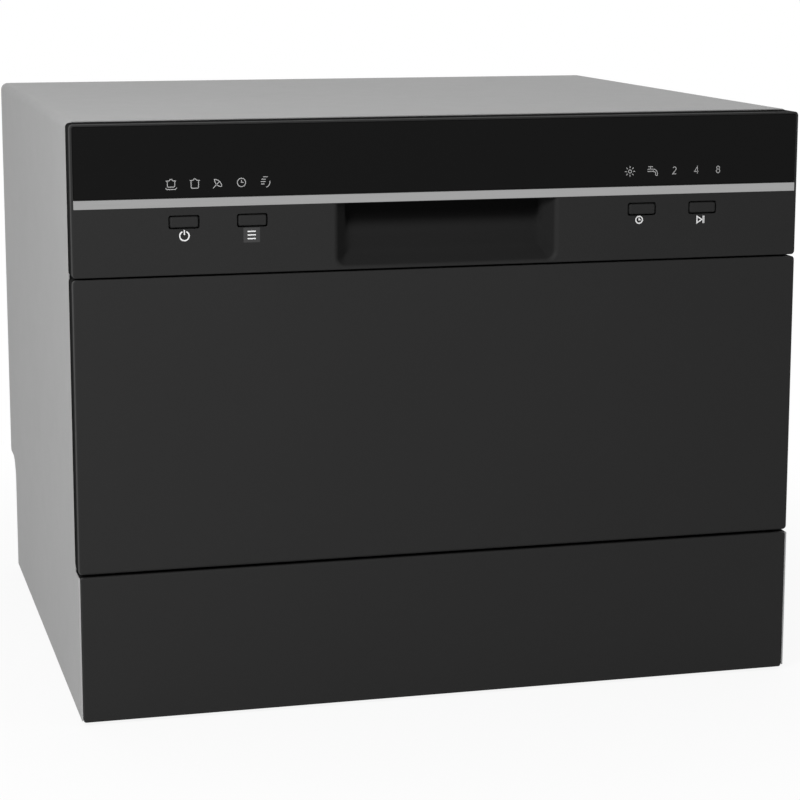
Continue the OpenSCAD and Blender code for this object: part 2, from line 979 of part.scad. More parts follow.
module wash_rotor() {
    color("black") {
        rod_y([sump_x, pump_y + 20, pump_z], 32, 3);
        rod_y([sump_x, pump_y + 8, pump_z], 4, 88);
        for (a = [0:60:300])
            translate([sump_x, 0, pump_z])
            rotate([0, a, 0])
            block([8, pump_y + 8, -1], [30, pump_y + 20.5, 1]);
    }
}

module flow_heater() {
    x0 = -16;
    color("lightgray") {
        rod_x([x0, pump_y + 16, pump_z], 16, 55);
        rod_y([0, pump_y - 12, pump_z], 9, 16);
    }
}

module drain_pump() {
    color("gray")
    difference() {
        union() {
            rod_x([drain_x, sump_y, drain_z], 24, 24);
            rod_x([drain_x + 24, sump_y, drain_z], 19.8, 44);
            rod_y([drain_x + 10, sump_y, drain_out_z], 8, 36);
            rod_x([drain_x - 2, sump_y, drain_z + 8], 9, 3);
        }
        rod_x([drain_x + 3, sump_y, drain_z], 20.5, 18);
        rod_x([drain_x - 3, sump_y, drain_z + 8], 7, 8);
        rod_y([drain_x + 10, sump_y + 10, drain_out_z], 6, 30);
        rod_x([drain_x + 15, sump_y, drain_z], 2.54, 46);
    }
}

module drain_rotor() {
    color("black") {
        rod_x([drain_x + 5, sump_y, drain_z], 2.5, 54);
        for (a = [0:90:270])
            translate([0, sump_y, drain_z])
            rotate([a, 0, 0])
            block([drain_x + 5, 1, -1], [drain_x + 18, 18.5, 1]);
    }
}

// a quarter bend in the X and Z plane, from running along X to running up
module bend(x, y, z, turn, r, r_in, radius) {
    translate([x, y, z])
    rotate([90, 0, 0])
    rotate([0, 0, turn])
    rotate_extrude(angle = 90)
    translate([radius, 0])
    difference() {
        circle(r);
        circle(r_in);
    }
}

module tube_x(x0, x1, y, z, r, r_in) {
    difference() {
        rod_x([x0, y, z], r, x1 - x0);
        rod_x([x0 - 1, y, z], r_in, x1 - x0 + 2);
    }
}

module tube_y(x, y0, y1, z, r, r_in) {
    difference() {
        rod_y([x, y0, z], r, y1 - y0);
        rod_y([x, y0 - 1, z], r_in, y1 - y0 + 2);
    }
}

module tube_z(x, y, z0, z1, r, r_in) {
    difference() {
        rod_z([x, y, z0], r, z1 - z0);
        rod_z([x, y, z0 - 1], r_in, z1 - z0 + 2);
    }
}

module internal_hoses() {
    x = tank_x;
    color([0.15, 0.15, 0.15]) {
        tube_y(sump_x, sump_y + sump_r + 8, pump_y - 2, pump_z, 15, 12.1);
        tube_y(0, spray_y + 14, pump_y - 2, pump_z, 12, 9.1);
        tube_y(drain_x + 10, sump_y + 26, bay_y - 6, drain_out_z, 11, 8.1);
        // valve to tank
        tube_x(x + 20, valve_x - 20, hose_y, valve_z, 7, 5);
        bend(x + 20, hose_y, valve_z + 20, 180, 7, 5, 20);
        tube_z(x, hose_y, valve_z + 20, 168, 7, 5);
        // tank to softener
        tube_z(x, softener_hose_y, 80, 168, 7, 5);
        bend(x + 20, softener_hose_y, 80, 180, 7, 5, 20);
        tube_x(x + 20, -193, softener_hose_y, 60, 7, 5);
    }
}

module softener() {
    color("whitesmoke")
    difference() {
        union() {
            block([-190, -150, 12], [-34, -12, 120]);
            rod_z([salt_x, salt_y, 119], 30, tub_floor + 1 - 119);
            rod_x([-200, softener_hose_y, 60], 5, 11);
        }
        rod_z([salt_x, salt_y, 16], 26, 140);
    }
}

module salt_cap() {
    z1 = tub_floor + 1;
    color([0.3, 0.3, 0.32])
    difference() {
        union() {
            rod_z([salt_x, salt_y, z1 - 10], 25.92, 10.4);
            rod_z([salt_x, salt_y, z1 + 0.3], 29.5, 3);
            block([salt_x - 20, salt_y - 2.5, z1 + 3.2], [salt_x + 20, salt_y + 2.5, z1 + 7]);
        }
        rod_z([salt_x, salt_y, z1 - 11], 23, 9);
    }
}

module air_break_tank() {
    color("aliceblue") {
        block([tank_x - 13, -50, 172], [tank_x + 13, 200, 380]);
        for (y = [hose_y, softener_hose_y])
            rod_z([tank_x, y, 162], 5, 11);
    }
}

module overflow_float() {
    color("lightgray")
    difference() {
        union() {
            rod_z([float_x, float_y, tub_floor + 1.5], 15, 13);
            rod_z([float_x, float_y, 112], 4, 30);
        }
        difference() {
            rod_z([float_x, float_y, tub_floor + 1], 13.5, 12);
            rod_z([float_x, float_y, tub_floor], 4, 14);
        }
    }
}

module float_switch() {
    color("black") {
        block([float_x - 14, float_y - 6, 88], [float_x + 14, float_y + 6, 108]);
        block([float_x - 10, float_y - 3, 107.8], [float_x + 10, float_y + 3, 110.5]);
        block([float_x - 4, float_y - 4, foot_h + 3.2], [float_x + 4, float_y + 4, 88.1]);
    }
}

// Connections in the hose bay

module inlet_valve() {
    color("whitesmoke")
    difference() {
        union() {
            rod_y([valve_x, bay_y - 1.5, valve_z], 13.6, 1.6);
            rod_y([valve_x, bay_y, valve_z], 13.22, 18.6);
            block([valve_x - 18, bay_y - 34, tray_wall + 1], [valve_x + 18, bay_y - 1.4, valve_z + 18]);
            rod_z([valve_x, bay_y - 18, valve_z + 17], 13, 26);
            rod_x([valve_x - 27, hose_y, valve_z], 5, 10);
        }
        rod_y([valve_x, bay_y - 12, valve_z], 9, 40);
    }
}

module drain_spigot() {
    x = drain_x + 10;
    color("dimgray")
    difference() {
        union() {
            rod_y([x, bay_y - 17, drain_out_z], 8, 18);
            rod_y([x, bay_y, drain_out_z], 9.5, 28);
        }
        rod_y([x, bay_y - 20, drain_out_z], 6.5, 60);
    }
}

module cord_gland() {
    color("black")
    difference() {
        union() {
            rod_y([60, bay_y - 6, 45], 7.8, 14);
            rod_y([60, bay_y - 0.1, 45], 12, 12);
        }
        rod_y([60, bay_y - 7, 45], 4, 30);
    }
}

module terminal_box() {
    color("dimgray")
    block([30, bay_y - 60, foot_h + 3.2], [90, bay_y - 20, 54]);
}

casing();
rear_panel();
rear_screws();
base_tray();
feet();
kick_panel();
front_frame();
door_panel();
control_panel();
control_glass();
trim_strip();
power_button();
programme_button();
timer_button();
start_button();
control_boards();
door_insulation();
door_liner();
liner_screws();
door_strike();
door_lock();
hinge_brackets();
hinge_arms();
door_springs();
dispenser();
dispenser_lid();
rinse_cap();
tub();
tub_insulation();
tub_gasket();
sill_seal();
basket_rails();
basket();
wheel_front_left();
wheel_front_right();
wheel_rear_left();
wheel_rear_right();
cup_shelf();
cutlery_basket();
spray_pillar();
spray_arm();
spray_nut();
sump();
filter_plate();
filter_cylinder();
wash_pump();
wash_rotor();
flow_heater();
drain_pump();
drain_rotor();
internal_hoses();
softener();
salt_cap();
air_break_tank();
overflow_float();
float_switch();
inlet_valve();
drain_spigot();
cord_gland();
terminal_box();
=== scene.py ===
import json
import math
import bmesh
import bpy
from mathutils import Matrix, Vector
from mathutils.geometry import delaunay_2d_cdt

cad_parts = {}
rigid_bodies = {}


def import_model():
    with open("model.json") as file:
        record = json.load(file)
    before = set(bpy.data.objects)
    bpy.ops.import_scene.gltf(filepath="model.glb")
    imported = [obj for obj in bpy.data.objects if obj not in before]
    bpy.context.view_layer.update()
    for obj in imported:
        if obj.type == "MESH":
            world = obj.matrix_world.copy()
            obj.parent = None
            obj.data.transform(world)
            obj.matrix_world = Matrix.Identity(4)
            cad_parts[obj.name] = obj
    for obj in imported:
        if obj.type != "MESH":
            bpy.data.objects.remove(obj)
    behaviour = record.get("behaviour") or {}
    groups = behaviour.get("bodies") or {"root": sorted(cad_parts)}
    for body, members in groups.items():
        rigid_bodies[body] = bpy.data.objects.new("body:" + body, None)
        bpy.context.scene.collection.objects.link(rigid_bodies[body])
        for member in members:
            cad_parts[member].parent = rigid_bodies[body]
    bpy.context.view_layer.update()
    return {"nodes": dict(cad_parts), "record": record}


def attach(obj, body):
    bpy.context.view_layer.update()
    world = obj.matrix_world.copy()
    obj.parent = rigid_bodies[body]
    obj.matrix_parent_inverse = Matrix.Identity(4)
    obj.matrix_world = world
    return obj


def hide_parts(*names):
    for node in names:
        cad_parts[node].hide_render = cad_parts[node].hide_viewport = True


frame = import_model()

nodes = frame["nodes"]
scene = bpy.context.scene
mm = 0.001


class Val:
    # a socket that Python's operators work on, each adding a Math node
    def __init__(self, maker, socket):
        self.maker = maker
        self.socket = socket

    def math(self, operation, other):
        return self.maker.node("ShaderNodeMath", {"operation": operation}, {0: self, 1: other})

    def __add__(self, other):
        return self.math("ADD", other)

    def __mul__(self, other):
        return self.math("MULTIPLY", other)

    def __rsub__(self, other):
        return self.maker.node("ShaderNodeMath", {"operation": "SUBTRACT"}, {0: other, 1: self})


class Tree:
    # one node tree; node() adds a node and gives back one of its outputs
    def __init__(self, tree):
        self.tree = tree

    def put(self, socket, value):
        if isinstance(value, Val):
            self.tree.links.new(value.socket, socket)
        else:
            socket.default_value = value

    def node(self, kind, settings=None, sockets=None, out=0):
        made = self.tree.nodes.new(kind)
        for key, value in (settings or {}).items():
            setattr(made, key, value)
        for key, value in (sockets or {}).items():
            self.put(made.inputs[key], value)
        return Val(self, made.outputs[out])

    def axis(self, vector, name):
        return self.node("ShaderNodeSeparateXYZ", sockets={0: vector}, out=name)

    def ramp(self, value, start, end, low=0.0, high=1.0):
        # low to high with soft ends, while the value goes from start to end
        return self.node("ShaderNodeMapRange", {"interpolation_type": "SMOOTHSTEP"},
                         {"Value": value, "From Min": start, "From Max": end, "To Min": low, "To Max": high})

    def scaleColour(self, colour, factor):
        return self.node("ShaderNodeVectorMath", {"operation": "SCALE"}, {0: colour, "Scale": factor})


class Finish(Tree):
    # a material: a Principled shader whose plain values are given, and helpers for patterns
    def __init__(self, name, colour, **shader):
        self.material = bpy.data.materials.new(name)
        self.material.use_nodes = True
        super().__init__(self.material.node_tree)
        self.shader = self.tree.nodes["Principled BSDF"]
        self.colour = colour
        self.set("Base Color", (*colour, 1.0))
        for key, value in shader.items():
            self.set(key.replace("_", " "), value)
        self.place = self.node("ShaderNodeTexCoord", out="Object")

    def set(self, name, value):
        self.put(self.shader.inputs[name], value)

    def scaled(self, x, y, z):
        return self.node("ShaderNodeMapping", sockets={"Vector": self.place, "Scale": (x, y, z)})

    def noise(self, scale, detail=2.0, vector=None):
        sockets = {"Vector": vector or self.place, "Scale": scale, "Detail": detail}
        return self.node("ShaderNodeTexNoise", sockets=sockets)

    def cells(self, scale, out="Distance"):
        return self.node("ShaderNodeTexVoronoi", sockets={"Vector": self.place, "Scale": scale}, out=out)

    def between(self, factor, low, high):
        return self.node("ShaderNodeMapRange", sockets={"Value": factor, "To Min": low, "To Max": high})

    def tint(self, factor, low, high):
        # the base colour times a grey that runs from low to high with the factor
        self.set("Base Color", self.scaleColour(self.colour, self.between(factor, low, high)))

    def roughen(self, factor, low, high):
        self.set("Roughness", self.between(factor, low, high))

    def bump(self, height, distance, strength=1.0):
        sockets = {"Height": height, "Distance": distance, "Strength": strength}
        self.set("Normal", self.node("ShaderNodeBump", sockets=sockets))

    def brighten(self, mask, gain):
        # the base colour, brighter where the mask is 1
        plain = Val(self, self.shader.inputs["Base Color"].links[0].from_socket)
        self.set("Base Color", self.scaleColour(plain, mask * gain + 1.0))

    def rise(self, axis, start, end):
        # 0 to 1 along an axis of the object, with start and end in mm
        return self.ramp(self.axis(self.place, axis), start * mm, end * mm)

    def cover(self, factor, other):
        # another shader over the material's own where the factor is 1
        own = Val(self, self.shader.outputs[0])
        mixed = self.node("ShaderNodeMixShader", sockets={0: factor, 1: own, 2: other})
        self.put(self.tree.nodes["Material Output"].inputs["Surface"], mixed)


class Growth(Tree):
    # a Geometry Nodes tree with named inputs; grow() runs it on a mesh and gives back a plain mesh
    def __init__(self, name, inputs):
        super().__init__(bpy.data.node_groups.new(name, "GeometryNodeTree"))
        sockets = self.tree.interface
        sockets.new_socket("Geometry", in_out="INPUT", socket_type="NodeSocketGeometry")
        self.ids = {}
        for key, kind in {**inputs, "Finish": "Material"}.items():
            made = sockets.new_socket(key, in_out="INPUT", socket_type="NodeSocket" + kind)
            self.ids[key] = made.identifier
        sockets.new_socket("Geometry", in_out="OUTPUT", socket_type="NodeSocketGeometry")
        self.given = self.tree.nodes.new("NodeGroupInput")

    def input(self, name):
        return Val(self, self.given.outputs[name])

    def end(self, geometry):
        whole = self.node("GeometryNodeRealizeInstances", sockets={0: geometry})
        sockets = {"Geometry": whole, "Material": self.input("Finish")}
        result = self.tree.nodes.new("NodeGroupOutput")
        self.put(result.inputs[0], self.node("GeometryNodeSetMaterial", sockets=sockets))

    def grow(self, name, mesh, finish, values):
        carrier = bpy.data.objects.new(name + "Carrier", mesh)
        scene.collection.objects.link(carrier)
        modifier = carrier.modifiers.new("growth", "NODES")
        modifier.node_group = self.tree
        for key, value in {**values, "Finish": finishes[finish].material}.items():
            modifier[self.ids[key]] = value
        grown = bpy.data.meshes.new_from_object(carrier.evaluated_get(bpy.context.evaluated_depsgraph_get()))
        carrier.modifiers.remove(modifier)
        bpy.data.objects.remove(carrier)
        grown.name = name
        return grown


def linear(level):
    # an sRGB level of 0 to 255 as a linear value
    level /= 255
    return level / 12.92 if level <= 0.04045 else ((level + 0.055) / 1.055) ** 2.4


def grey(level, warm=0.0):
    value = linear(level)
    return (value * (1 + warm), value, value * (1 - warm))


def paint(name, colour, roughness, grain, peel, specular):
    # sprayed enamel: orange peel over a fine grain
    made = Finish(name, colour, Roughness=roughness, Specular_IOR_Level=specular)
    made.tint(made.noise(9.0), 0.965, 1.035)
    made.roughen(made.noise(60.0, 3.0), roughness - 0.03, roughness + 0.03)
    made.bump(made.noise(420.0) * peel + made.noise(2600.0, 1.0) * grain, 0.0002)
    return made


def moulded(name, colour, roughness, grain=0.5, specular=0.5):
    # injection-moulded plastic with a spark-eroded grain
    made = Finish(name, colour, Roughness=roughness, Specular_IOR_Level=specular)
    made.tint(made.noise(14.0, 3.0), 0.95, 1.05)
    made.roughen(made.noise(90.0), roughness - 0.04, roughness + 0.05)
    made.bump(made.cells(1500.0) * grain + made.noise(900.0) * grain, 0.00012)
    return made


def brushed(name, colour, roughness, stretch):
    # metal with fine scratches along the axis that is stretched least
    made = Finish(name, colour, Metallic=1.0, Roughness=roughness)
    lines = made.noise(1.0, 3.0, made.scaled(*stretch))
    made.tint(lines, 0.9, 1.08)
    made.roughen(lines, roughness - 0.06, roughness + 0.1)
    made.bump(lines, 0.00005, 0.4)
    return made


def zincCoat(name, colour):
    # galvanised sheet with a faint spangle
    made = Finish(name, colour, Metallic=1.0, Roughness=0.42)
    level = made.node("ShaderNodeSeparateColor", sockets={"Color": made.cells(130.0, "Color")})
    made.tint(level, 0.86, 1.08)
    made.roughen(level, 0.34, 0.52)
    made.bump(made.noise(700.0), 0.00004)
    return made


def rubberFinish(name, colour):
    made = Finish(name, colour, Roughness=0.7)
    made.roughen(made.noise(120.0, 3.0), 0.62, 0.82)
    made.bump(made.noise(1400.0, 3.0), 0.0001)
    return made


def feltFinish(name, colour):
    # matted fibres that lie two ways
    made = Finish(name, colour, Roughness=0.95)
    across = made.noise(1.0, 4.0, made.scaled(260, 900, 300))
    fibres = across + made.noise(1.0, 4.0, made.scaled(900, 240, 800))
    made.tint(fibres * 0.5, 0.6, 1.5)
    made.bump(fibres, 0.0006)
    return made


def castFinish(name, colour):
    made = Finish(name, colour, Roughness=0.5)
    made.roughen(made.noise(50.0, 4.0), 0.4, 0.6)
    made.bump(made.noise(380.0, 4.0), 0.0002)
    return made


def boardFinish(name, colour):
    # solder mask with copper tracks showing through
    made = Finish(name, colour, Roughness=0.3)
    greys = {"Color1": (0.9, 0.9, 0.9, 1), "Color2": (1, 1, 1, 1), "Mortar": (0.4, 0.4, 0.4, 1)}
    tracks = made.node("ShaderNodeTexBrick",
                       sockets={"Vector": made.place, "Scale": 90.0, "Mortar Size": 0.02, **greys})
    level = made.node("ShaderNodeRGBToBW", sockets={"Color": tracks})
    made.tint(level, 0.6, 1.3)
    made.bump(level, 0.00005)
    return made


# each finish: its maker, its colour, and the other values that the maker takes, in its own order
finishPlans = {
    "casingPaint": (paint, grey(152), 0.45, 0.25, 0.5, 0.15),
    "frontPaint": (paint, grey(45), 0.4, 0.3, 0.5, 0.04),
    "frontPlastic": (moulded, grey(44), 0.44, 0.5, 0.04),
    "buttonPlastic": (moulded, grey(44), 0.38, 0.3, 0.05),
    "inlayGloss": (moulded, grey(10), 0.08, 0.0, 0.08),
    "trimMetal": (brushed, grey(165), 0.3, (30, 3000, 3000)),
    "printWhite": (moulded, grey(236), 0.6, 0.1),
    "printGrey": (moulded, grey(168), 0.6, 0.1),
    "printField": (moulded, grey(64), 0.5, 0.1, 0.1),
    "zincSteel": (zincCoat, grey(196)),
    "stainless": (brushed, grey(205), 0.27, (2500, 40, 2500)),
    "stainlessLiner": (brushed, grey(205), 0.27, (40, 2500, 2500)),
    "darkPlastic": (moulded, grey(38), 0.5),
    "greyPlastic": (moulded, grey(112), 0.45),
    "dispenserPlastic": (moulded, grey(128), 0.4),
    "bluePlastic": (moulded, (0.03, 0.12, 0.34), 0.38),
    "whitePlastic": (moulded, grey(222, 0.02), 0.42),
    "rackCoat": (moulded, grey(168), 0.36, 0.6),
    "wheelPlastic": (moulded, grey(120), 0.42),
    "rubber": (rubberFinish, grey(34)),
    "felt": (feltFinish, grey(58)),
    "motorCoat": (castFinish, grey(110)),
    "board": (boardFinish, (0.01, 0.11, 0.04)),
}
finishes = {name: maker(name, *values) for name, (maker, *values) in finishPlans.items()}

# the front's edges, in mm: how far behind its face the painted highlight begins and fades, which outer edges
# it is on, and where the returns turn matt, darkened by painted shade, and then darker still (more painted
# shade)
frontEdge = {
    "face": -249.4, "highlightIn": (0.15, 0.6), "highlightOut": (1.0, 1.7), "paintedHighlight": 1.3, "outer": (271.0, 272.6),
    "upper": (433.0, 436.0), "matt": (1.3, 3.0), "mattShadeColour": grey(37), "mattRough": 0.85,
    "deep": (11.9, 16.5), "depthShade": 0.6,
}


def edgeFront(made, plan):
    # the rounded outer edge gets a painted highlight, and the returns and hollows behind it are matt and
    # darkened by painted shade
    def behind(start, end):
        return made.rise("Y", plan["face"] + start, plan["face"] + end)

    low, high = plan["outer"]
    sides = made.rise("X", low, high) + (1 - made.rise("X", -high, -low))
    outside = sides.math("MAXIMUM", made.rise("Z", *plan["upper"]))
    # painted highlight: the base colour made brighter along the rounded outer edges
    made.brighten(behind(*plan["highlightIn"]) * (1 - behind(*plan["highlightOut"])) * outside, plan["paintedHighlight"])
    # painted shade: the matt returns and the hollow get a darker colour, darker still the deeper they lie
    # behind the face
    dark = made.scaleColour(plan["mattShadeColour"], 1 - behind(*plan["deep"]) * plan["depthShade"])
    grain = Val(made, made.shader.inputs["Normal"].links[0].from_socket)
    matt = made.node("ShaderNodeBsdfPrincipled", sockets={
        "Base Color": dark, "Roughness": plan["mattRough"], "Specular IOR Level": 0.0, "Normal": grain})
    made.cover(behind(*plan["matt"]), matt)


edgeFront(finishes["frontPaint"], frontEdge)
edgeFront(finishes["frontPlastic"], frontEdge)
# the casing's front edge beside the kick panel gets a painted highlight
casingHighlight = {"highlightOut": (-248.4, -246.8), "paintedHighlight": 0.3}
casingPaint = finishes["casingPaint"]
casingPaint.brighten(1 - casingPaint.rise("Y", *casingHighlight["highlightOut"]), casingHighlight["paintedHighlight"])
print("finishes made:", len(finishes))


cameraPlan = {"place": (-0.471, -1.8994, 0.5612), "yaw": 14.765, "pitch": 9.996, "roll": 0.061,
              "lens": 106.23, "sensor": 36.0, "shift": -0.05, "clip": (0.05, 50.0)}


def setCamera(plan):
    data = bpy.data.cameras.new("photoCamera")
    data.lens = plan["lens"]
    data.sensor_width = plan["sensor"]
    data.shift_y = plan["shift"]
    data.clip_start, data.clip_end = plan["clip"]
    camera = bpy.data.objects.new("photoCamera", data)
    scene.collection.objects.link(camera)
    turn = Matrix.Rotation(math.radians(-plan["yaw"]), 4, "Z")
    tilt = Matrix.Rotation(math.radians(90 - plan["pitch"]), 4, "X")
    roll = Matrix.Rotation(math.radians(plan["roll"]), 4, "Z")
    camera.matrix_world = Matrix.Translation(plan["place"]) @ turn @ tilt @ roll
    scene.camera = camera


studio = {
    "floorHalf": 9.0, "floorColour": grey(235),  # sizes in metres
    "lift": 0.9, "liftFrom": 0.35, "liftTo": 0.8,  # the floor's glow, rising to 1 over these distances
    "fill": 0.5, "top": 0.74, "ahead": 0.7, "aside": 0.5,  # the room: all round, above, in front, left
    "rises": (-0.1, 0.8), "dims": (-0.9, -0.1),  # over these parts of a direction: up, and ahead and aside
    "lamps": {
        "keyLamp": {"place": (-0.85, -1.05, 0.95), "aim": (0, -0.1, 0.25), "size": 0.4, "power": 10.5},
        "topLamp": {"place": (0.3, 0.6, 2.6), "aim": (0, 0, 0.4), "size": 1.8, "power": 1},
    },
}


def addLamp(name, plan):
    data = bpy.data.lights.new(name, "AREA")
    data.shape = "RECTANGLE"
    data.size = data.size_y = plan["size"]
    data.energy = plan["power"]
    lamp = bpy.data.objects.new(name, data)
    scene.collection.objects.link(lamp)
    lamp.visible_camera = False
    lamp.location = plan["place"]
    way = Vector(plan["aim"]) - Vector(plan["place"])
    lamp.rotation_euler = way.to_track_quat("-Z", "Y").to_euler()


def seenRays(tree):
    # 1 for the rays that show the background itself: straight, mirrored or through glass
    rays = tree.node("ShaderNodeLightPath").socket.node.outputs
    seen = Val(tree, rays["Is Camera Ray"])
    for name in ("Is Glossy Ray", "Is Transmission Ray"):
        seen = seen.math("MAXIMUM", Val(tree, rays[name]))
    return seen


def setFloor(plan):
    # a pale surface that takes the shadow, lifted to white for the camera, most of all far from the object
    half = plan["floorHalf"]
    mesh = bpy.data.meshes.new("floor")
    corners = [(-half, -half, 0), (half, -half, 0), (half, half, 0), (-half, half, 0)]
    mesh.from_pydata(corners, [], [(0, 1, 2, 3)])
    floor = bpy.data.objects.new("floor", mesh)
    scene.collection.objects.link(floor)
    look = Finish("floorLook", plan["floorColour"], Roughness=0.9)
    glow = look.node("ShaderNodeEmission", sockets={"Color": (1, 1, 1, 1), "Strength": 1.0})
    away = look.node("ShaderNodeVectorMath", {"operation": "LENGTH"}, {0: look.place}, out="Value")
    look.cover(seenRays(look) * look.ramp(away, plan["liftFrom"], plan["liftTo"], plan["lift"]), glow)
    mesh.materials.append(look.material)


def setWorld(plan):
    # white behind the object, and as a light a room that is bright above and dimmer in front and at the left
    world = bpy.data.worlds.new("studioWorld")
    world.use_nodes = True
    scene.world = world
    sky = Tree(world.node_tree)
    where = sky.node("ShaderNodeTexCoord", out="Generated")
    overhead = sky.ramp(sky.axis(where, "Z"), *plan["rises"])
    ahead = sky.ramp(sky.axis(where, "Y"), *plan["dims"], plan["ahead"])
    aside = sky.ramp(sky.axis(where, "X"), *plan["dims"], plan["aside"])
    room = (overhead * (plan["top"] - plan["fill"]) + plan["fill"]) * ahead * aside
    shown = seenRays(sky)
    back = world.node_tree.nodes["Background"]
    back.inputs["Color"].default_value = (1, 1, 1, 1)
    sky.put(back.inputs["Strength"], shown + (1 - shown) * room)


setCamera(cameraPlan)
setFloor(studio)
setWorld(studio)
for lampName, lampPlan in studio["lamps"].items():
    addLamp(lampName, lampPlan)
scene.view_settings.view_transform = "Standard"
print("studio set")


bodyOf = {n: b for b, names in frame["record"]["behaviour"]["bodies"].items() for n in names}
sharpAngle = math.radians(35)


def addPiece(name, mesh, body, finish, stands=()):
    mesh.materials.clear()
    mesh.materials.append(finishes[finish].material)
    piece = bpy.data.objects.new(name, mesh)
    scene.collection.objects.link(piece)
    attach(piece, body)
    if stands:
        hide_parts(*stands)
    return piece


def softenEdges(piece, width, segments=2):
    bevel = piece.modifiers.new("edges", "BEVEL")
    bevel.width = width * mm
    bevel.segments = segments
    bevel.limit_method = "ANGLE"
    bevel.angle_limit = sharpAngle
    weighted = piece.modifiers.new("shading", "WEIGHTED_NORMAL")
    weighted.keep_sharp = True
    weighted.weight = 80


def cleanCopy(node, name):
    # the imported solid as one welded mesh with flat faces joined
    mesh = nodes[node].data.copy()
    mesh.name = name
    if "custom_normal" in mesh.attributes:
        mesh.attributes.remove(mesh.attributes["custom_normal"])
    shape = bmesh.new()
    shape.from_mesh(mesh)
    bmesh.ops.remove_doubles(shape, verts=shape.verts, dist=2e-6)
    bmesh.ops.dissolve_limit(shape, angle_limit=math.radians(0.3), verts=shape.verts, edges=shape.edges)
    for face in shape.faces:
        face.smooth = True
    for edge in shape.edges:
        edge.smooth = len(edge.link_faces) == 2 and edge.calc_face_angle(0) < sharpAngle
    shape.to_mesh(mesh)
    shape.free()
    return mesh


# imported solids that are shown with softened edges: piece name, finish and edge radius in mm
dressed = {
    "casing": ("casingShell", "casingPaint", 0.3),
    "base_tray": ("baseTray", "darkPlastic", 0.6),
    "feet": ("rubberFeet", "rubber", 0.8),
    "front_frame": ("frontFrame", "darkPlastic", 0.5),
    "door_strike": ("doorStrike", "zincSteel", 0.5),
    "door_lock": ("doorLock", "darkPlastic", 0.6),
    "hinge_brackets": ("hingeBrackets", "zincSteel", 0.3),
    "hinge_arms": ("hingeArms", "zincSteel", 0.3),
    "tub_gasket": ("tubGasket", "rubber", 1.2),
    "sill_seal": ("sillSeal", "rubber", 1.2),
    "basket_rails": ("basketRails", "greyPlastic", 0.4),
    "cutlery_basket": ("cutleryBasket", "greyPlastic", 0.5),
    "cup_shelf": ("cupShelf", "greyPlastic", 0.7),
    "spray_pillar": ("sprayPillar", "darkPlastic", 0.6),
    "spray_nut": ("sprayNut", "darkPlastic", 0.8),
    "sump": ("sumpPot", "darkPlastic", 0.6),
    "filter_plate": ("filterPlate", "stainlessLiner", 0.2),
    "filter_cylinder": ("filterCylinder", "greyPlastic", 0.4),
    "softener": ("softenerTank", "whitePlastic", 1.2),
    "salt_cap": ("saltCap", "greyPlastic", 0.5),
    "overflow_float": ("overflowFloat", "whitePlastic", 0.6),
    "inlet_valve": ("inletValve", "whitePlastic", 0.5),
    "drain_spigot": ("drainSpigot", "darkPlastic", 0.4),
    "cord_gland": ("cordGland", "darkPlastic", 0.4),
}
for node, (name, finish, edge) in dressed.items():
    softenEdges(addPiece(name, cleanCopy(node, name), bodyOf[node], finish, [node]), edge)

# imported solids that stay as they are
kept = {
    "door_insulation": "felt", "tub_insulation": "felt", "control_boards": "board",
    "door_springs": "zincSteel", "wash_pump": "motorCoat", "drain_pump": "motorCoat",
    "wash_rotor": "darkPlastic", "drain_rotor": "darkPlastic", "flow_heater": "stainless",
    "internal_hoses": "rubber", "air_break_tank": "whitePlastic", "float_switch": "darkPlastic",
    "terminal_box": "darkPlastic",
}
for node, finish in kept.items():
    nodes[node].data.materials.clear()
    nodes[node].data.materials.append(finishes[finish].material)
print("solids dressed:", len(dressed), "kept:", len(kept))


def finishMesh(shape, name):
    mesh = bpy.data.meshes.new(name)
    shape.to_mesh(mesh)
    shape.free()
    return mesh


def closeShape(shape, name, body, finish, stands=()):
    bmesh.ops.remove_doubles(shape, verts=shape.verts, dist=1e-6)
    bmesh.ops.recalc_face_normals(shape, faces=shape.faces)
    return addPiece(name, finishMesh(shape, name), body, finish, stands)


def standIn(shape, name, node, finish):
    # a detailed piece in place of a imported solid, on the same body
    return closeShape(shape, name, bodyOf[node], finish, [node])


def quarterTurns(steps):
    # angles from 0 to 90 degrees, in radians
    return [math.radians(90 * i / steps) for i in range(steps + 1)]


def roundLoop(x0, z0, x1, z1, radii, steps=6):
    # a rounded rectangle, anticlockwise from its lower left corner: (x, z, outward x, outward z)
    corners = ((x0, z0, 180), (x1, z0, 270), (x1, z1, 0), (x0, z1, 90))
    loop = []
    for (x, z, start), r in zip(corners, radii):
        cx = x + r if x == x0 else x - r
        cz = z + r if z == z0 else z - r
        for i in range(steps + 1):
            a = math.radians(start + 90 * i / steps)
            loop.append((cx + r * math.cos(a), cz + r * math.sin(a), math.cos(a), math.sin(a)))
    return loop


def addRing(shape, points):
    # points are in mm
    return [shape.verts.new([c * mm for c in point]) for point in points]


def ringAbout(shape, axis, centre, r, steps=32):
    # a circle about the X, Y or Z axis (0, 1 or 2); r is a radius or a function of the vertex's number
    points = []
    for i in range(steps):
        a = 2 * math.pi * i / steps
        far = r(i) if callable(r) else r
        u, v = far * math.cos(a), far * math.sin(a)
        offset = ((0, u, v), (u, 0, v), (u, v, 0))[axis]
        points.append([c + o for c, o in zip(centre, offset)])
    return addRing(shape, points)


def bridge(shape, rings, smooth=True, closed=True):
    # quads between rings of equally many vertices
    count = len(rings[0])
    for low, high in zip(rings, rings[1:]):
        for i in range(count if closed else count - 1):
            j = (i + 1) % count
            shape.faces.new([low[i], low[j], high[j], high[i]]).smooth = smooth


def revolve(shape, axis, centre, profile, steps=32):
    # profile is a list of (distance along the axis, radius)
    rings = []
    for along, r in profile:
        place = list(centre)
        place[axis] += along
        rings.append(ringAbout(shape, axis, place, r, steps))
    bridge(shape, rings)
    return rings


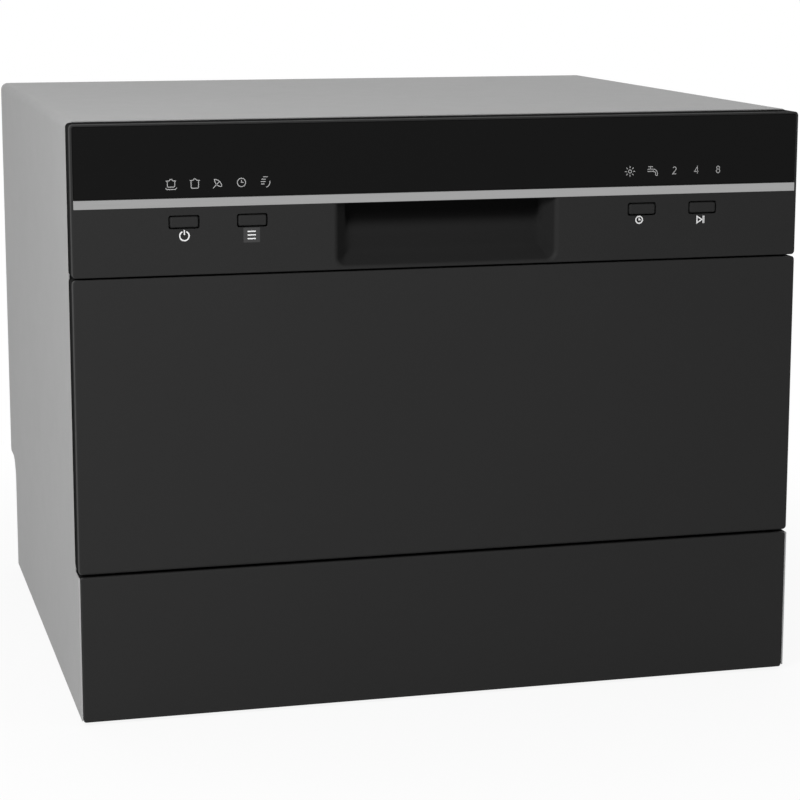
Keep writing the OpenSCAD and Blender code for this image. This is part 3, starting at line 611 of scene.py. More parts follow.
def inside(loop, x, z):
    # whether a point lies inside a closed outline, by how many of its sides lie beyond the point
    crossed = False
    for (xa, za), (xb, zb) in zip(loop, loop[1:] + loop[:1]):
        if (za > z) != (zb > z) and x < (xb - xa) * (z - za) / (zb - za) + xa:
            crossed = not crossed
    return crossed


def fillFlat(shape, outer, holes=(), axes=(0, 2)):
    # faces inside the outer ring of vertices and outside the holes, laid out in two of the axes
    u, v = axes
    verts = list(outer)
    edges = [(i, (i + 1) % len(outer)) for i in range(len(outer))]
    for hole in holes:
        start = len(verts)
        verts += hole
        edges += [(start + i, start + (i + 1) % len(hole)) for i in range(len(hole))]
    made = delaunay_2d_cdt([Vector((vert.co[u], vert.co[v])) for vert in verts], edges, [], 0, 1e-7)
    loops = [[(vert.co[u], vert.co[v]) for vert in ring] for ring in (outer, *holes)]
    places = []
    for point, origins in zip(made[0], made[3]):
        if origins:
            places.append(verts[origins[0]])
            continue
        # a vertex where two outlines cross
        place = outer[0].co.copy()
        place[u], place[v] = point
        places.append(shape.verts.new(place))
    for corners in made[2]:
        middle = sum((made[0][i] for i in corners), Vector((0, 0))) / len(corners)
        if inside(loops[0], *middle) and not any(inside(hole, *middle) for hole in loops[1:]):
            shape.faces.new([places[i] for i in corners]).smooth = False


def layBox(shape, box, y, profile, radius, steps=6, least=0.05):
    # a well or raised plate: joined rings round a box (x0, z0, x1, z1), one for each (inset, way from y)
    x0, z0, x1, z1 = box
    rings = []
    for inset, along in profile:
        radii = [max(radius - inset, least)] * 4
        loop = roundLoop(x0 + inset, z0 + inset, x1 - inset, z1 - inset, radii, steps)
        rings.append(addRing(shape, [(x, y + along, z) for x, z, nx, nz in loop]))
    bridge(shape, rings)
    return rings


def addPlate(shape, box, back, face, radius, edge, holes=()):
    # a rounded plate that stands along Y from back to face, with a soft edge; holes are rings on its face
    way = math.copysign(1.0, face - back)
    profile = [(0.0, back)]
    profile += [(edge * (1 - math.cos(a)), face - way * edge * (1 - math.sin(a))) for a in quarterTurns(4)]
    rings = layBox(shape, box, 0.0, profile, radius, 5)
    fillFlat(shape, rings[0])
    fillFlat(shape, rings[-1], holes)


def addBox(shape, a, b):
    made = bmesh.ops.create_cube(shape, size=1.0)
    for v in made["verts"]:
        v.co = Vector([(a[i] + b[i]) / 2 * mm + v.co[i] * (b[i] - a[i]) * mm for i in range(3)])


def ease(low, high, value):
    # 0 to 1 with soft ends, while the value goes from low to high
    t = min(max((value - low) / (high - low), 0.0), 1.0)
    return t * t * (3 - 2 * t)


# the front pieces; a seat is a corner radius, a depth and the radius of its rim
panel = {
    "halfW": 275.0, "z0": 328.7, "z1": 437.0, "face": -249.4, "back": -230.1, "corners": (3, 3, 3, 3),
    "sideEdge": 1.9, "lowEdge": 0.8, "highEdge": 1.2,
    "gripHalfW": 84.5, "gripFoot": 329.2, "gripDepth": 11.5, "gripDraft": 10.5, "gripCorner": 9.0,
    "rimSoft": 0.6, "rearSoft": 1.6, "rimLoss": 0.15,
    "cell": 0.8, "margin": 1.5, "footGap": 1.0, "stripGap": 0.2,
    "hookHalfW": 75.5, "hookZ": 353.0, "hookEase": 17.0, "hookSide": 3.0, "hookDeep": 6.5, "hookRise": 15.0,
    "bar": 4.0, "inlay": (-272.8, 384.1, 272.8, 435.4), "inlaySeat": (1.4, 1.6, 0.2),
    "strip": (-272.9, 377.2, 272.9, 383.7), "stripSeat": (0.3, 1.1, 0.1),
    "keyX": (-194.5, -145.2, 150.5, 198.7), "keyZ": 366.6, "keyW": 22.3, "keyH": 9.6,
    "keySeat": (1.6, 5.0, 0.45),
}
doorSheet = {
    "halfW": 275.0, "z0": 113.0, "z1": 327.3, "face": -249.4, "back": -230.1, "corners": (3, 3, 3, 3),
    "sideEdge": 2.0, "lowEdge": 2.2, "highEdge": 0.8, "hinge": (-242.4, 122.0), "reach": 12.8,
}
kickSheet = {
    "halfW": 273.7, "z0": 2.4, "z1": 111.0, "face": -249.4, "back": -236.4, "corners": (2, 2, 1.4, 1.4),
    "sideEdge": 1.5, "lowEdge": 0.8, "highEdge": 1.2,
}
returns = {"lip": 2.4, "rows": 8, "edgeSteps": 7, "cornerSteps": 6}


def frontShell(shape, plan, foot=None):
    # the outside of a front moulding or bent sheet, up to the edge of its flat face; foot lifts its lower
    # rear corner, and a part with a foot is open below, behind its toe
    face, back, halfW, rows = plan["face"], plan["back"], plan["halfW"], returns["rows"]
    loop = roundLoop(-halfW, plan["z0"], halfW, plan["z1"], plan["corners"], returns["cornerSteps"])
    deepest = max(plan["sideEdge"], plan["lowEdge"], plan["highEdge"])
    straight = [(back + (face + deepest - back) * i / rows, 0.0) for i in range(rows + 1)]
    rings = []
    for y, inset in [(back, returns["lip"]), *straight]:
        low = plan["z0"] + (foot(y) if foot else 0.0)
        rings.append(addRing(shape, [(x - nx * inset, y, max(z - nz * inset, low)) for x, z, nx, nz in loop]))
    for a in quarterTurns(returns["edgeSteps"]):
        points = []
        for x, z, nx, nz in loop:
            edge = plan["sideEdge"] * nx * nx + (plan["highEdge"] if nz > 0 else plan["lowEdge"]) * nz * nz
            inset = edge * (1 - math.cos(a))
            points.append((x - nx * inset, face + edge * (1 - math.sin(a)), z - nz * inset))
        rings.append(addRing(shape, points))
    bridge(shape, rings[:2], smooth=False)
    bridge(shape, rings[1:])
    if foot:
        left, right = returns["cornerSteps"], returns["cornerSteps"] + 1
        for low, high in zip(rings[:rows + 1], rings[1:]):
            shape.faces.remove(shape.faces.get([low[left], low[right], high[right], high[left]]))
    return rings[-1]


def makeDoorSheet(plan):
    hingeY, hingeZ = plan["hinge"]

    def foot(y):
        # the returns are cut round about the hinge, so that they clear the kick panel
        away = y - hingeY
        if away <= 0:
            return 0.0
        return max(hingeZ - math.sqrt(max(plan["reach"] ** 2 - away ** 2, 0.0)) - plan["z0"], 0.0)

    shape = bmesh.new()
    fillFlat(shape, frontShell(shape, plan, foot))
    standIn(shape, "doorPanel", "door_panel", "frontPaint")


def makeKickSheet(plan):
    shape = bmesh.new()
    fillFlat(shape, frontShell(shape, plan))
    standIn(shape, "kickPanel", "kick_panel", "frontPaint")


def softRise(value, soft):
    # 0 below zero and the value itself above it, with a rounded bend between; 40 only limits the exponent
    return soft * math.log1p(math.exp(min(value / soft, 40.0)))


def gripDepthAt(plan, x, z):
    # the hollow's depth: rounded at the rim, a drafted wall, rounded into the rear wall, hooked above
    reach = plan["gripHalfW"] - abs(x)
    rise = z - plan["gripFoot"]
    r = plan["gripCorner"]
    inset = min(reach, rise)
    if reach < r and rise < r:
        inset = r - math.hypot(r - reach, r - rise)
    start = softRise(inset, plan["rimSoft"])
    depth = start - softRise(start - plan["gripDraft"], plan["rearSoft"])
    depth *= plan["gripDepth"] / plan["gripDraft"]
    up = ease(plan["hookZ"], plan["hookZ"] + plan["hookEase"], z)
    hook = up * ease(0.0, plan["hookSide"], plan["hookHalfW"] - abs(x))
    return max(depth - plan["rimLoss"], 0.0) + plan["hookDeep"] * hook


def gripGrid(shape, plan):
    # a fine grid pushed back by the hollow's depth, in a flat opening that ends below the strip
    halfW = plan["gripHalfW"] + plan["margin"]
    foot, top = plan["z0"] + plan["footGap"], plan["strip"][1] - plan["stripGap"]
    columns = round(2 * halfW / plan["cell"])
    rows = round((top - foot) / plan["cell"])
    grid = []
    for j in range(rows + 1):
        z = foot + (top - foot) * j / rows
        row = []
        for i in range(columns + 1):
            x = -halfW + 2 * halfW * i / columns
            onEdge = j == 0 or i in (0, columns)
            row.append((x, plan["face"] + (0 if onEdge else gripDepthAt(plan, x, z)), z))
        grid.append(addRing(shape, row))
    bridge(shape, grid, closed=False)
    return grid


def hookPocket(shape, plan, edge):
    # the pocket over the grid's upper edge, behind the strip's bar; gives back the bar's lower edge
    face, bar = plan["face"], plan["face"] + plan["bar"]
    lip = [tuple(v.co / mm) for v in edge]
    rise = [plan["hookRise"] if abs(x) < plan["hookHalfW"] else 0.0 for x, y, z in lip]
    high = addRing(shape, [(x, y, z + up) for (x, y, z), up in zip(lip, rise)])
    front = addRing(shape, [(x, min(y, bar), z + up) for (x, y, z), up in zip(lip, rise)])
    low = addRing(shape, [(x, min(y, bar), z) for x, y, z in lip])
    brow = addRing(shape, [(x, face, z) for x, y, z in lip])
    bridge(shape, [edge, high, front, low, brow], smooth=False, closed=False)
    return brow


def keyBox(plan, x, gap=0.0):
    halfW, halfH = plan["keyW"] / 2 - gap, plan["keyH"] / 2 - gap
    return (x - halfW, plan["keyZ"] - halfH, x + halfW, plan["keyZ"] + halfH)


def makeControlPanel(plan):
    shape = bmesh.new()
    outline = frontShell(shape, plan)
    seats = [(plan["inlay"], *plan["inlaySeat"]), (plan["strip"], *plan["stripSeat"])]
    seats += [(keyBox(plan, x), *plan["keySeat"]) for x in plan["keyX"]]
    holes = []
    for box, radius, depth, rim in seats:
        profile = [(-rim * (1 - math.sin(a)), rim * (1 - math.cos(a))) for a in quarterTurns(4)]
        profile.append((0.0, depth))
        well = layBox(shape, box, plan["face"], profile, radius, 4)
        fillFlat(shape, well[-1])
        holes.append(well[0])
    grid = gripGrid(shape, plan)
    brow = hookPocket(shape, plan, grid[-1])
    holes.append(grid[0] + [row[-1] for row in grid[1:-1]] + brow[::-1] + [row[0] for row in grid[-2:0:-1]])
    fillFlat(shape, outline, holes)
    bmesh.ops.remove_doubles(shape, verts=shape.verts, dist=1e-6)
    bmesh.ops.dissolve_degenerate(shape, dist=1e-7, edges=shape.edges)
    standIn(shape, "controlPanel", "control_panel", "frontPlastic")


# the keys' side profile: inset, and way back from the panel's face
keys = {
    "nodes": ("power_button", "programme_button", "timer_button", "start_button"), "gap": 0.4, "radius": 2.0,
    "least": 0.5, "profile": ((0.1, 3.4), (0.55, 0.9), (0.8, 0.1), (1.0, -0.35), (1.35, -0.55), (1.9, -0.6)),
}


def makeKeys(plan):
    # drafted, with a broad soft edge, so that a dark groove shows round each
    for node, x in zip(plan["nodes"], panel["keyX"]):
        shape = bmesh.new()
        box = keyBox(panel, x, plan["gap"])
        rings = layBox(shape, box, panel["face"], plan["profile"], plan["radius"], 5, plan["least"])
        fillFlat(shape, rings[-1])
        standIn(shape, node.split("_")[0] + "Button", node, "buttonPlastic")


# the glossy plate and the bright strip in their seats
inlays = {
    "controlInlay": {"node": "control_glass", "finish": "inlayGloss", "box": panel["inlay"], "gap": 0.2,
                     "sunk": 0.2, "deep": 1.3, "radius": 1.3, "edge": 0.35},
    "trimStrip": {"node": "trim_strip", "finish": "trimMetal", "box": panel["strip"], "gap": 0.1,
                  "sunk": 0.0, "deep": 1.0, "radius": 0.5, "edge": 0.15},
}


def makeInlay(name, plan):
    shape = bmesh.new()
    x0, z0, x1, z1 = plan["box"]
    gap, y = plan["gap"], panel["face"] + plan["sunk"]
    box = (x0 + gap, z0 + gap, x1 - gap, z1 - gap)
    addPlate(shape, box, y + plan["deep"], y, plan["radius"], plan["edge"])
    standIn(shape, name, plan["node"], plan["finish"])


makeKeys(keys)
for inlayName, inlayPlan in inlays.items():
    makeInlay(inlayName, inlayPlan)
makeDoorSheet(doorSheet)
makeKickSheet(kickSheet)
makeControlPanel(panel)
print("front made")


prints = {
    "inlayY": -249.22, "panelY": -249.42, "line": 0.55, "bold": 1.6,
    "leftX": (-203.5, -186.5, -169.8, -152.9, -135.8), "leftZ": 393.9,
    "rightX": (140.5, 158.1, 175.7, 193.2, 210.6), "rightZ": 394.9,
    "under": ((-194.5, 356.8), (-145.9, 356.1), (148.3, 358.6), (197.4, 357.5)),
    "field": (-151.9, 350.8, -139.9, 361.4), "fieldBehind": 0.01,
}


def arc(cx, cz, r, start, end, steps=20):
    turns = [math.radians(start + (end - start) * i / steps) for i in range(steps + 1)]
    return [(cx + r * math.cos(a), cz + r * math.sin(a)) for a in turns]


def drawStroke(shape, points, y, line, closed):
    # a flat ribbon of even width along the points, with mitred bends; a closed one ends where it starts
    points = points[:-1] if closed else points
    count = len(points)
    left, right = [], []
    for i, (x, z) in enumerate(points):
        before = points[i - 1] if closed or i else None
        after = points[(i + 1) % count] if closed or i < count - 1 else None
        ways = []
        if before:
            ways.append(Vector((x - before[0], z - before[1])).normalized())
        if after:
            ways.append(Vector((after[0] - x, after[1] - z)).normalized())
        way = sum(ways, Vector((0, 0))).normalized()
        wide = line / 2 / max(abs(way.dot(ways[0])), 0.35)
        left.append((x - way.y * wide, y, z + way.x * wide))
        right.append((x + way.y * wide, y, z - way.x * wide))
    bridge(shape, [addRing(shape, right), addRing(shape, left)], smooth=False, closed=closed)


digits = {
    2: [arc(0, 1.3, 1.3, 155, -35, 12) + [(-1.4, -2.6), (1.4, -2.6)]],
    4: [[(0.8, -2.7), (0.8, 2.6), (-1.5, -1.2), (1.6, -1.2)]],
    8: [arc(0, 1.3, 1.15, 0, 360, 20), arc(0, -1.25, 1.35, 0, 360, 20)],
}


def potSymbol(feet):
    low = -2.1 if feet else -3.3
    body = [(-2.7, 2.1), (-2.6, low + 0.6), (-2.1, low), (2.1, low), (2.6, low + 0.6), (2.7, 2.1)]
    lid = [(-3.7, 2.2), (-1.3, 2.3), (-0.5, 3.3), (0.5, 3.3), (1.3, 2.3), (3.7, 2.2)]
    return [body, lid] + ([[(-3.9, -2.7), (-3.1, -3.8), (3.1, -3.8), (4.1, -2.7)]] if feet else [])


def leafSymbol():
    blade = arc(-2.6, -2.6, 5.2, 0, 90, 12) + arc(2.6, 2.6, 5.2, 180, 270, 12)[1:]
    return [blade, [(-3.6, -3.6), (0.9, 0.9)]]


def clockSymbol(r):
    return [arc(0, 0, r, 0, 360, 24), [(0, r * 0.6), (0, 0), (r * 0.5, 0)]]


def brushSymbol():
    return [[(-1.4, 3.6), (1.9, 3.6)], arc(-0.4, -0.2, 3.9, 12, -72, 12), [(-2.6, 1.9), (0.6, 1.9)],
            [(-3.1, 0.2), (0.4, 0.2)], [(-3.0, -1.5), (-0.4, -1.5)]]


def sunSymbol():
    rays = []
    for i in range(8):
        a = math.radians(45 * i)
        rays.append([(2.5 * math.cos(a), 2.5 * math.sin(a)), (4.0 * math.cos(a), 4.0 * math.sin(a))])
    return [arc(0, 0, 1.2, 0, 360, 16), *rays]


def tapSymbol():
    spout = [(-3.8, -0.3), (0.8, -0.3), *arc(0.8, -2.2, 1.9, 90, 0, 6), (2.7, -3.4)]
    body = [(-3.8, 1.3), (0.4, 1.3), *arc(0.6, -2.2, 3.5, 90, 0, 8), (4.1, -3.4), (2.7, -3.4)]
    return [spout, body, [(-1.4, 1.3), (-1.4, 3.0)], [(-3.2, 3.2), (0.4, 3.2)]]


def powerSymbol():
    return [arc(0, 0, 3.35, 115, 425, 28), [(0, 0.7), (0, 4.2)]]


def listSymbol():
    return [[(-3.0, h), (3.0, h)] for h in (2.6, 0, -2.6)]


def startSymbol():
    arrow = [(-2.9, -2.5), (-2.9, 2.5), (1.0, 0), (-2.9, -2.5)]
    return [arrow, [(2.0, -2.8), (2.0, 2.8)], [(2.6, -2.8), (2.6, 2.8)]]


def printSymbols(name, placed, y, line, finish):
    # placed is a list of ((x, z), symbol)
    shape = bmesh.new()
    for (x, z), symbol in placed:
        for stroke in symbol:
            points = [(x + px, z + pz) for px, pz in stroke]
            drawStroke(shape, points, y, line, stroke[0] == stroke[-1])
    addPiece(name, finishMesh(shape, name), "door", finish)


def makePrints(plan):
    left = [potSymbol(True), potSymbol(False), leafSymbol(), clockSymbol(3.0), brushSymbol()]
    right = [sunSymbol(), tapSymbol(), digits[2], digits[4], digits[8]]
    placed = [((x, plan["leftZ"]), symbol) for x, symbol in zip(plan["leftX"], left)]
    placed += [((x, plan["rightZ"]), symbol) for x, symbol in zip(plan["rightX"], right)]
    printSymbols("inlaySymbols", placed, plan["inlayY"], plan["line"], "printGrey")
    under = zip(plan["under"], (powerSymbol(), listSymbol(), clockSymbol(2.6), startSymbol()))
    printSymbols("panelSymbols", under, plan["panelY"], plan["line"] * plan["bold"], "printWhite")

    # the pale field behind the list symbol
    shape = bmesh.new()
    x0, z0, x1, z1 = plan["field"]
    corners = ((x0, z0), (x1, z0), (x1, z1), (x0, z1))
    fillFlat(shape, addRing(shape, [(x, plan["panelY"] + plan["fieldBehind"], z) for x, z in corners]))
    addPiece("symbolField", finishMesh(shape, "symbolField"), "door", "printField")


makePrints(prints)
print("symbols printed")


# the back: a flat sheet over a folded hose bay, with a field pressed round each group of slots
# (inset, way along Y); a fitting's hole is x, z and its radius
rear = {
    "y": 247.5, "bayY": 208.8, "halfW": 273.7, "top": 436.7, "ledge": 102.7, "foot": 8.0, "bend": 21.2,
    "corners": (0.2, 0.2, 4.7, 4.7), "sheet": 0.9, "slotX": (-160, 160), "slotZ": 190.0, "slotPitch": 14.0,
    "slots": 8, "slotW": 90.0, "slotH": 5.0, "slotR": 2.4, "fieldHalfW": 62, "fieldRim": 14, "fieldR": 9,
    "press": ((0, 0), (0.6, -0.15), (1.6, -0.9), (2.4, -1.2)), "lip": ((0, 0), (-0.3, -0.7), (-1.0, -1.0)),
    "fittings": ((-150, 50, 14), (178, 68, 10), (60, 45, 8)),
}


def makeRearPanel(plan):
    shape = bmesh.new()
    halfW, y, bayY, ledge = plan["halfW"], plan["y"], plan["bayY"], plan["ledge"]
    outline = roundLoop(-halfW, ledge, halfW, plan["top"], plan["corners"], 5)
    edge = addRing(shape, [(x, y, z) for x, z, nx, nz in outline])
    slotZs = [plan["slotZ"] + plan["slotPitch"] * i for i in range(plan["slots"])]
    z0, z1 = slotZs[0] - plan["fieldRim"], slotZs[-1] + plan["slotH"] + plan["fieldRim"]
    fields = []
    for x in plan["slotX"]:
        box = (x - plan["fieldHalfW"], z0, x + plan["fieldHalfW"], z1)
        rings = layBox(shape, box, y, plan["press"], plan["fieldR"])
        slots = []
        for z in slotZs:
            box = (x - plan["slotW"] / 2, z, x + plan["slotW"] / 2, z + plan["slotH"])
            slots += layBox(shape, box, y, [(0, plan["press"][-1][1])], plan["slotR"], 4)
        fillFlat(shape, rings[-1], slots)
        fields.append(rings[0])
    fillFlat(shape, edge, fields)

    # the hose bay: a lip, a ledge, a bend and an upright wall with a hole for each fitting
    r = plan["bend"]
    path = [(y + back, ledge + up) for back, up in plan["lip"]]
    path += arc(bayY + r, path[-1][1] - r, r, 90, 180, 9)
    rows = [addRing(shape, [(-halfW, py, pz), (halfW, py, pz)]) for py, pz in path]
    bridge(shape, rows, closed=False)
    wall = rows[-1] + addRing(shape, [(halfW, bayY, plan["foot"]), (-halfW, bayY, plan["foot"])])
    fillFlat(shape, wall, [ringAbout(shape, 1, (x, bayY, z), radius) for x, z, radius in plan["fittings"]])
    sheet = standIn(shape, "rearPanel", "rear_panel", "zincSteel").modifiers.new("sheet", "SOLIDIFY")
    sheet.thickness = plan["sheet"] * mm
    sheet.offset = -1


makeRearPanel(rear)


# the head's side, as parts of its radius and height, and the cross: half the width of an arm as a part of
# its reach, and how wide and how high its floor is, as parts of its mouth and of the head
screwHead = ((1.0, 0.0), (1.0, 0.3), (0.93, 0.62), (0.82, 0.88), (0.68, 1.0))
screwCross = {"arm": 0.3, "floor": 0.45, "floorHigh": 0.35}
screwSets = {
    "rearScrews": {"node": "rear_screws", "y": 247.5, "head": 3.8, "high": 2.0, "cross": 2.2,
                   "places": [(x, z) for x in (-268, 268) for z in (125, 270, 415)]
                   + [(-150, 430), (150, 430)]},
    "linerScrews": {"node": "liner_screws", "y": -229.8, "head": 2.6, "high": 1.2, "cross": 1.5,
                    "places": [(x, z) for x in (-264, 264) for z in (180, 290, 400)]
                    + [(x, 431) for x in (-200, -80, 80, 200)]},
}


def screwMesh(plan):
    # a pan-head screw that points along +Y, with a cross recess
    shape = bmesh.new()
    high, reach = plan["high"], plan["cross"]
    rings = [ringAbout(shape, 1, (0, high * h, 0), plan["head"] * r, 24) for r, h in screwHead]
    bridge(shape, rings)
    # the cross: a twelve-cornered hole in the flat top
    arm = reach * screwCross["arm"]
    cross = []
    for quarter in range(4):
        a = math.pi / 2 * quarter
        for x, z in ((reach, arm), (arm, arm), (arm, reach)):
            cross.append((x * math.cos(a) - z * math.sin(a), x * math.sin(a) + z * math.cos(a)))
    top = addRing(shape, [(x, high, z) for x, z in cross])
    fillFlat(shape, rings[-1], [top])
    narrow, floor = screwCross["floor"], high * screwCross["floorHigh"]
    deep = addRing(shape, [(x * narrow, floor, z * narrow) for x, z in cross])
    bridge(shape, [top, deep], smooth=False)
    fillFlat(shape, deep)
    bmesh.ops.recalc_face_normals(shape, faces=shape.faces)
    return finishMesh(shape, "screw")


def screwTree():
    # one screw at every vertex, each turned a little
    tree = Growth("screwSet", {"Screw": "Object"})
    source = tree.node("GeometryNodeObjectInfo", sockets={"Object": tree.input("Screw")}, out="Geometry")
    turn = tree.node("FunctionNodeRandomValue", {"data_type": "FLOAT"}, {2: -0.6, 3: 0.6, "Seed": 4}, out=1)
    spin = tree.node("ShaderNodeCombineXYZ", sockets={"Y": turn})
    sockets = {"Points": tree.input("Geometry"), "Instance": source, "Rotation": spin}
    tree.end(tree.node("GeometryNodeInstanceOnPoints", sockets=sockets))
    return tree


screws = screwTree()


def makeScrews(name, plan):
    sample = bpy.data.objects.new("screwSample", screwMesh(plan))
    scene.collection.objects.link(sample)
    points = bpy.data.meshes.new(name + "Places")
    points.from_pydata([(x * mm, plan["y"] * mm, z * mm) for x, z in plan["places"]], [], [])
    grown = screws.grow(name, points, "zincSteel", {"Screw": sample})
    bpy.data.objects.remove(sample)
    addPiece(name, grown, bodyOf[plan["node"]], "zincSteel", [plan["node"]])


for screwName, screwPlan in screwSets.items():
    makeScrews(screwName, screwPlan)
print("rear panel and screws made")


basket = {
    "halfW": 206.0, "y0": -184.0, "y1": 150.0, "floor": 171.3, "rim": 298.2, "wire": 1.55, "rimWire": 2.1,
    "acrossX": 14, "alongY": 11, "rows": 4, "bend": 7.0, "cornerBend": 14.0,
    "tines": 10, "tineX": -146.25, "tinePitch": 27.0, "tineRows": (11.75, 96.75), "tineTop": 246.0,
    "tineBend": 1.0, "rodX": -196.0, "rodZ": 256.5,
}


def wireTree():
    # round wire along every chain of edges, bent at its corners, with rounded free ends
    tree = Growth("wireWork", {"Wire radius": "Float", "Bend radius": "Float"})
    radius = tree.input("Wire radius")
    curve = tree.node("GeometryNodeMeshToCurve", sockets={"Mesh": tree.input("Geometry")})
    sockets = {"Curve": curve, "Radius": tree.input("Bend radius"), "Limit Radius": True, "Count": 5}
    bent = tree.node("GeometryNodeFilletCurve", {"mode": "POLY"}, sockets)
    section = tree.node("GeometryNodeCurvePrimitiveCircle", sockets={"Resolution": 10, "Radius": radius})
    sockets = {"Curve": bent, "Profile Curve": section, "Fill Caps": True}
    tube = tree.node("GeometryNodeCurveToMesh", sockets=sockets)
    ball = tree.node("GeometryNodeMeshIcoSphere", sockets={"Radius": radius, "Subdivisions": 2})
    ends = tree.node("GeometryNodeCurveEndpointSelection", sockets={"Start Size": 1, "End Size": 1})
    sockets = {"Points": bent, "Selection": ends, "Instance": ball}
    caps = tree.node("GeometryNodeInstanceOnPoints", sockets=sockets)
    joined = tree.tree.nodes.new("GeometryNodeJoinGeometry")
    tree.put(joined.inputs[0], tube)
    tree.put(joined.inputs[0], caps)
    tree.end(tree.node("GeometryNodeSetShadeSmooth", sockets={"Geometry": Val(tree, joined.outputs[0])}))
    return tree


wires = wireTree()


def growWires(name, chains, finish, radius, bend):
    # chains are lists of points in mm; a chain that ends on its first point is closed
    verts, edges = [], []
    for chain in chains:
        closed = chain[0] == chain[-1]
        points = chain[:-1] if closed else chain
        start = len(verts)
        verts += [[c * mm for c in p] for p in points]
        edges += [(start + i, start + i + 1) for i in range(len(points) - 1)]
        if closed:
            edges.append((start + len(points) - 1, start))
    mesh = bpy.data.meshes.new(name + "Lines")
    mesh.from_pydata(verts, edges, [])
    return wires.grow(name, mesh, finish, {"Wire radius": radius * mm, "Bend radius": bend * mm})


def spread(start, end, count):
    # evenly spaced values, both ends included
    return [start + (end - start) * i / (count - 1) for i in range(count)]


def makeBasket(plan):
    r, floor, rim = plan["wire"], plan["floor"], plan["rim"]
    halfW, y0, y1 = plan["halfW"] - r, plan["y0"] + r, plan["y1"] - r
    seat = floor + r

    def hoop(z):
        return [(-halfW, y0, z), (halfW, y0, z), (halfW, y1, z), (-halfW, y1, z), (-halfW, y0, z)]

    acrossXs = spread(-halfW, halfW, plan["acrossX"])[1:-1]
    alongYs = spread(y0, y1, plan["alongY"])[1:-1]
    cross = [[(x, y0, rim), (x, y0, floor), (x, y1, floor), (x, y1, rim)] for x in acrossXs]
    cross += [[(-halfW, y, rim), (-halfW, y, seat), (halfW, y, seat), (halfW, y, rim)] for y in alongYs]
    hoops = [hoop(z) for z in spread(floor, rim, plan["rows"])[1:-1]]
    tineXs = [plan["tineX"] + plan["tinePitch"] * i for i in range(plan["tines"])]
    tines = [[(x, y, seat), (x, y, plan["tineTop"])] for y in plan["tineRows"] for x in tineXs]
    tines += [[(-halfW, y, seat), (halfW, y, seat)] for y in plan["tineRows"]]
    tines.append([(plan["rodX"], y0, plan["rodZ"]), (plan["rodX"], y1, plan["rodZ"])])  # the cup shelf's rod
    shape = bmesh.new()
    for name, chains, radius, bend in (("basketCross", cross, r, plan["bend"]),
                                       ("basketHoops", hoops, r, plan["cornerBend"]),
                                       ("basketRim", [hoop(rim)], plan["rimWire"], plan["cornerBend"]),
                                       ("basketTines", tines, r, plan["tineBend"])):
        shape.from_mesh(growWires(name, chains, "rackCoat", radius, bend))
    mesh = finishMesh(shape, "dishBasket")
    addPiece("dishBasket", mesh, bodyOf["basket"], "rackCoat", ["basket"])


makeBasket(basket)


# the wheels run in the rails; the half profile is (distance from the middle, radius), down to the bore
wheels = {
    "x": 200.0, "y": {"front": -103.0, "rear": 110.0}, "z": 159.8, "sides": {"left": -1, "right": 1},
    "half": [(0, 9.0), (1.8, 9.0), (2.5, 8.8), (3.0, 8.2), (3.0, 7.2), (1.4, 6.7), (1.4, 4.6), (3.0, 4.2),
             (3.0, 2.05)],
    "webs": 6, "webAt": 5.6, "web": (5.0, 2.6, 0.9),
    "carrier": (204.2, 207.5), "carrierHalf": 4, "carrierTop": 181.3, "carrierEdge": 0.6,
    "axleR": 2, "axleL": 9, "axleX": 200.5,
}


def makeWheelBrackets(plan):
    # a moulded carrier for each wheel, clipped over the wires, with its axle
    shape = bmesh.new()
    z, half = plan["z"], plan["carrierHalf"]
    sideways = Matrix.Rotation(math.pi / 2, 3, "Y")
    for side in plan["sides"].values():
        for y in plan["y"].values():
            x0, x1 = sorted(side * x for x in plan["carrier"])
            addBox(shape, (x0, y - half, z - half), (x1, y + half, plan["carrierTop"]))
            r = plan["axleR"] * mm
            axle = bmesh.ops.create_cone(shape, cap_ends=True, segments=24, radius1=r, radius2=r,
                                         depth=plan["axleL"] * mm)
            bmesh.ops.rotate(shape, verts=axle["verts"], cent=(0, 0, 0), matrix=sideways)
            bmesh.ops.translate(shape, verts=axle["verts"], vec=[side * plan["axleX"] * mm, y * mm, z * mm])
    for face in shape.faces:
        face.smooth = True
    mesh = finishMesh(shape, "wheelBrackets")
    carriers = addPiece("wheelBrackets", mesh, "basket", "wheelPlastic")
    softenEdges(carriers, plan["carrierEdge"])


def makeWheel(plan, sideName, rowName):
    side, y, z = plan["sides"][sideName], plan["y"][rowName], plan["z"]
    shape = bmesh.new()
    profile = [(-along, r) for along, r in plan["half"][::-1]] + plan["half"][1:]
    rings = revolve(shape, 0, (side * plan["x"], y, z), profile, 40)
    bridge(shape, [rings[-1], rings[0]])
    # webs in the recess on each face
    for i in range(plan["webs"]):
        a = 2 * math.pi / plan["webs"] * i
        for v in bmesh.ops.create_cube(shape, size=1.0)["verts"]:
            along, out, wide = (c * size for c, size in zip(v.co, plan["web"]))
            out += plan["webAt"]
            v.co = Vector(((side * plan["x"] + along) * mm, (y + out * math.cos(a) - wide * math.sin(a)) * mm,
                           (z + out * math.sin(a) + wide * math.cos(a)) * mm))
    name = "wheel" + rowName.title() + sideName.title()
    standIn(shape, name, f"wheel_{rowName}_{sideName}", "wheelPlastic")


makeWheelBrackets(wheels)
for sideName in wheels["sides"]:
    for rowName in wheels["y"]:
        makeWheel(wheels, sideName, rowName)
print("basket made")


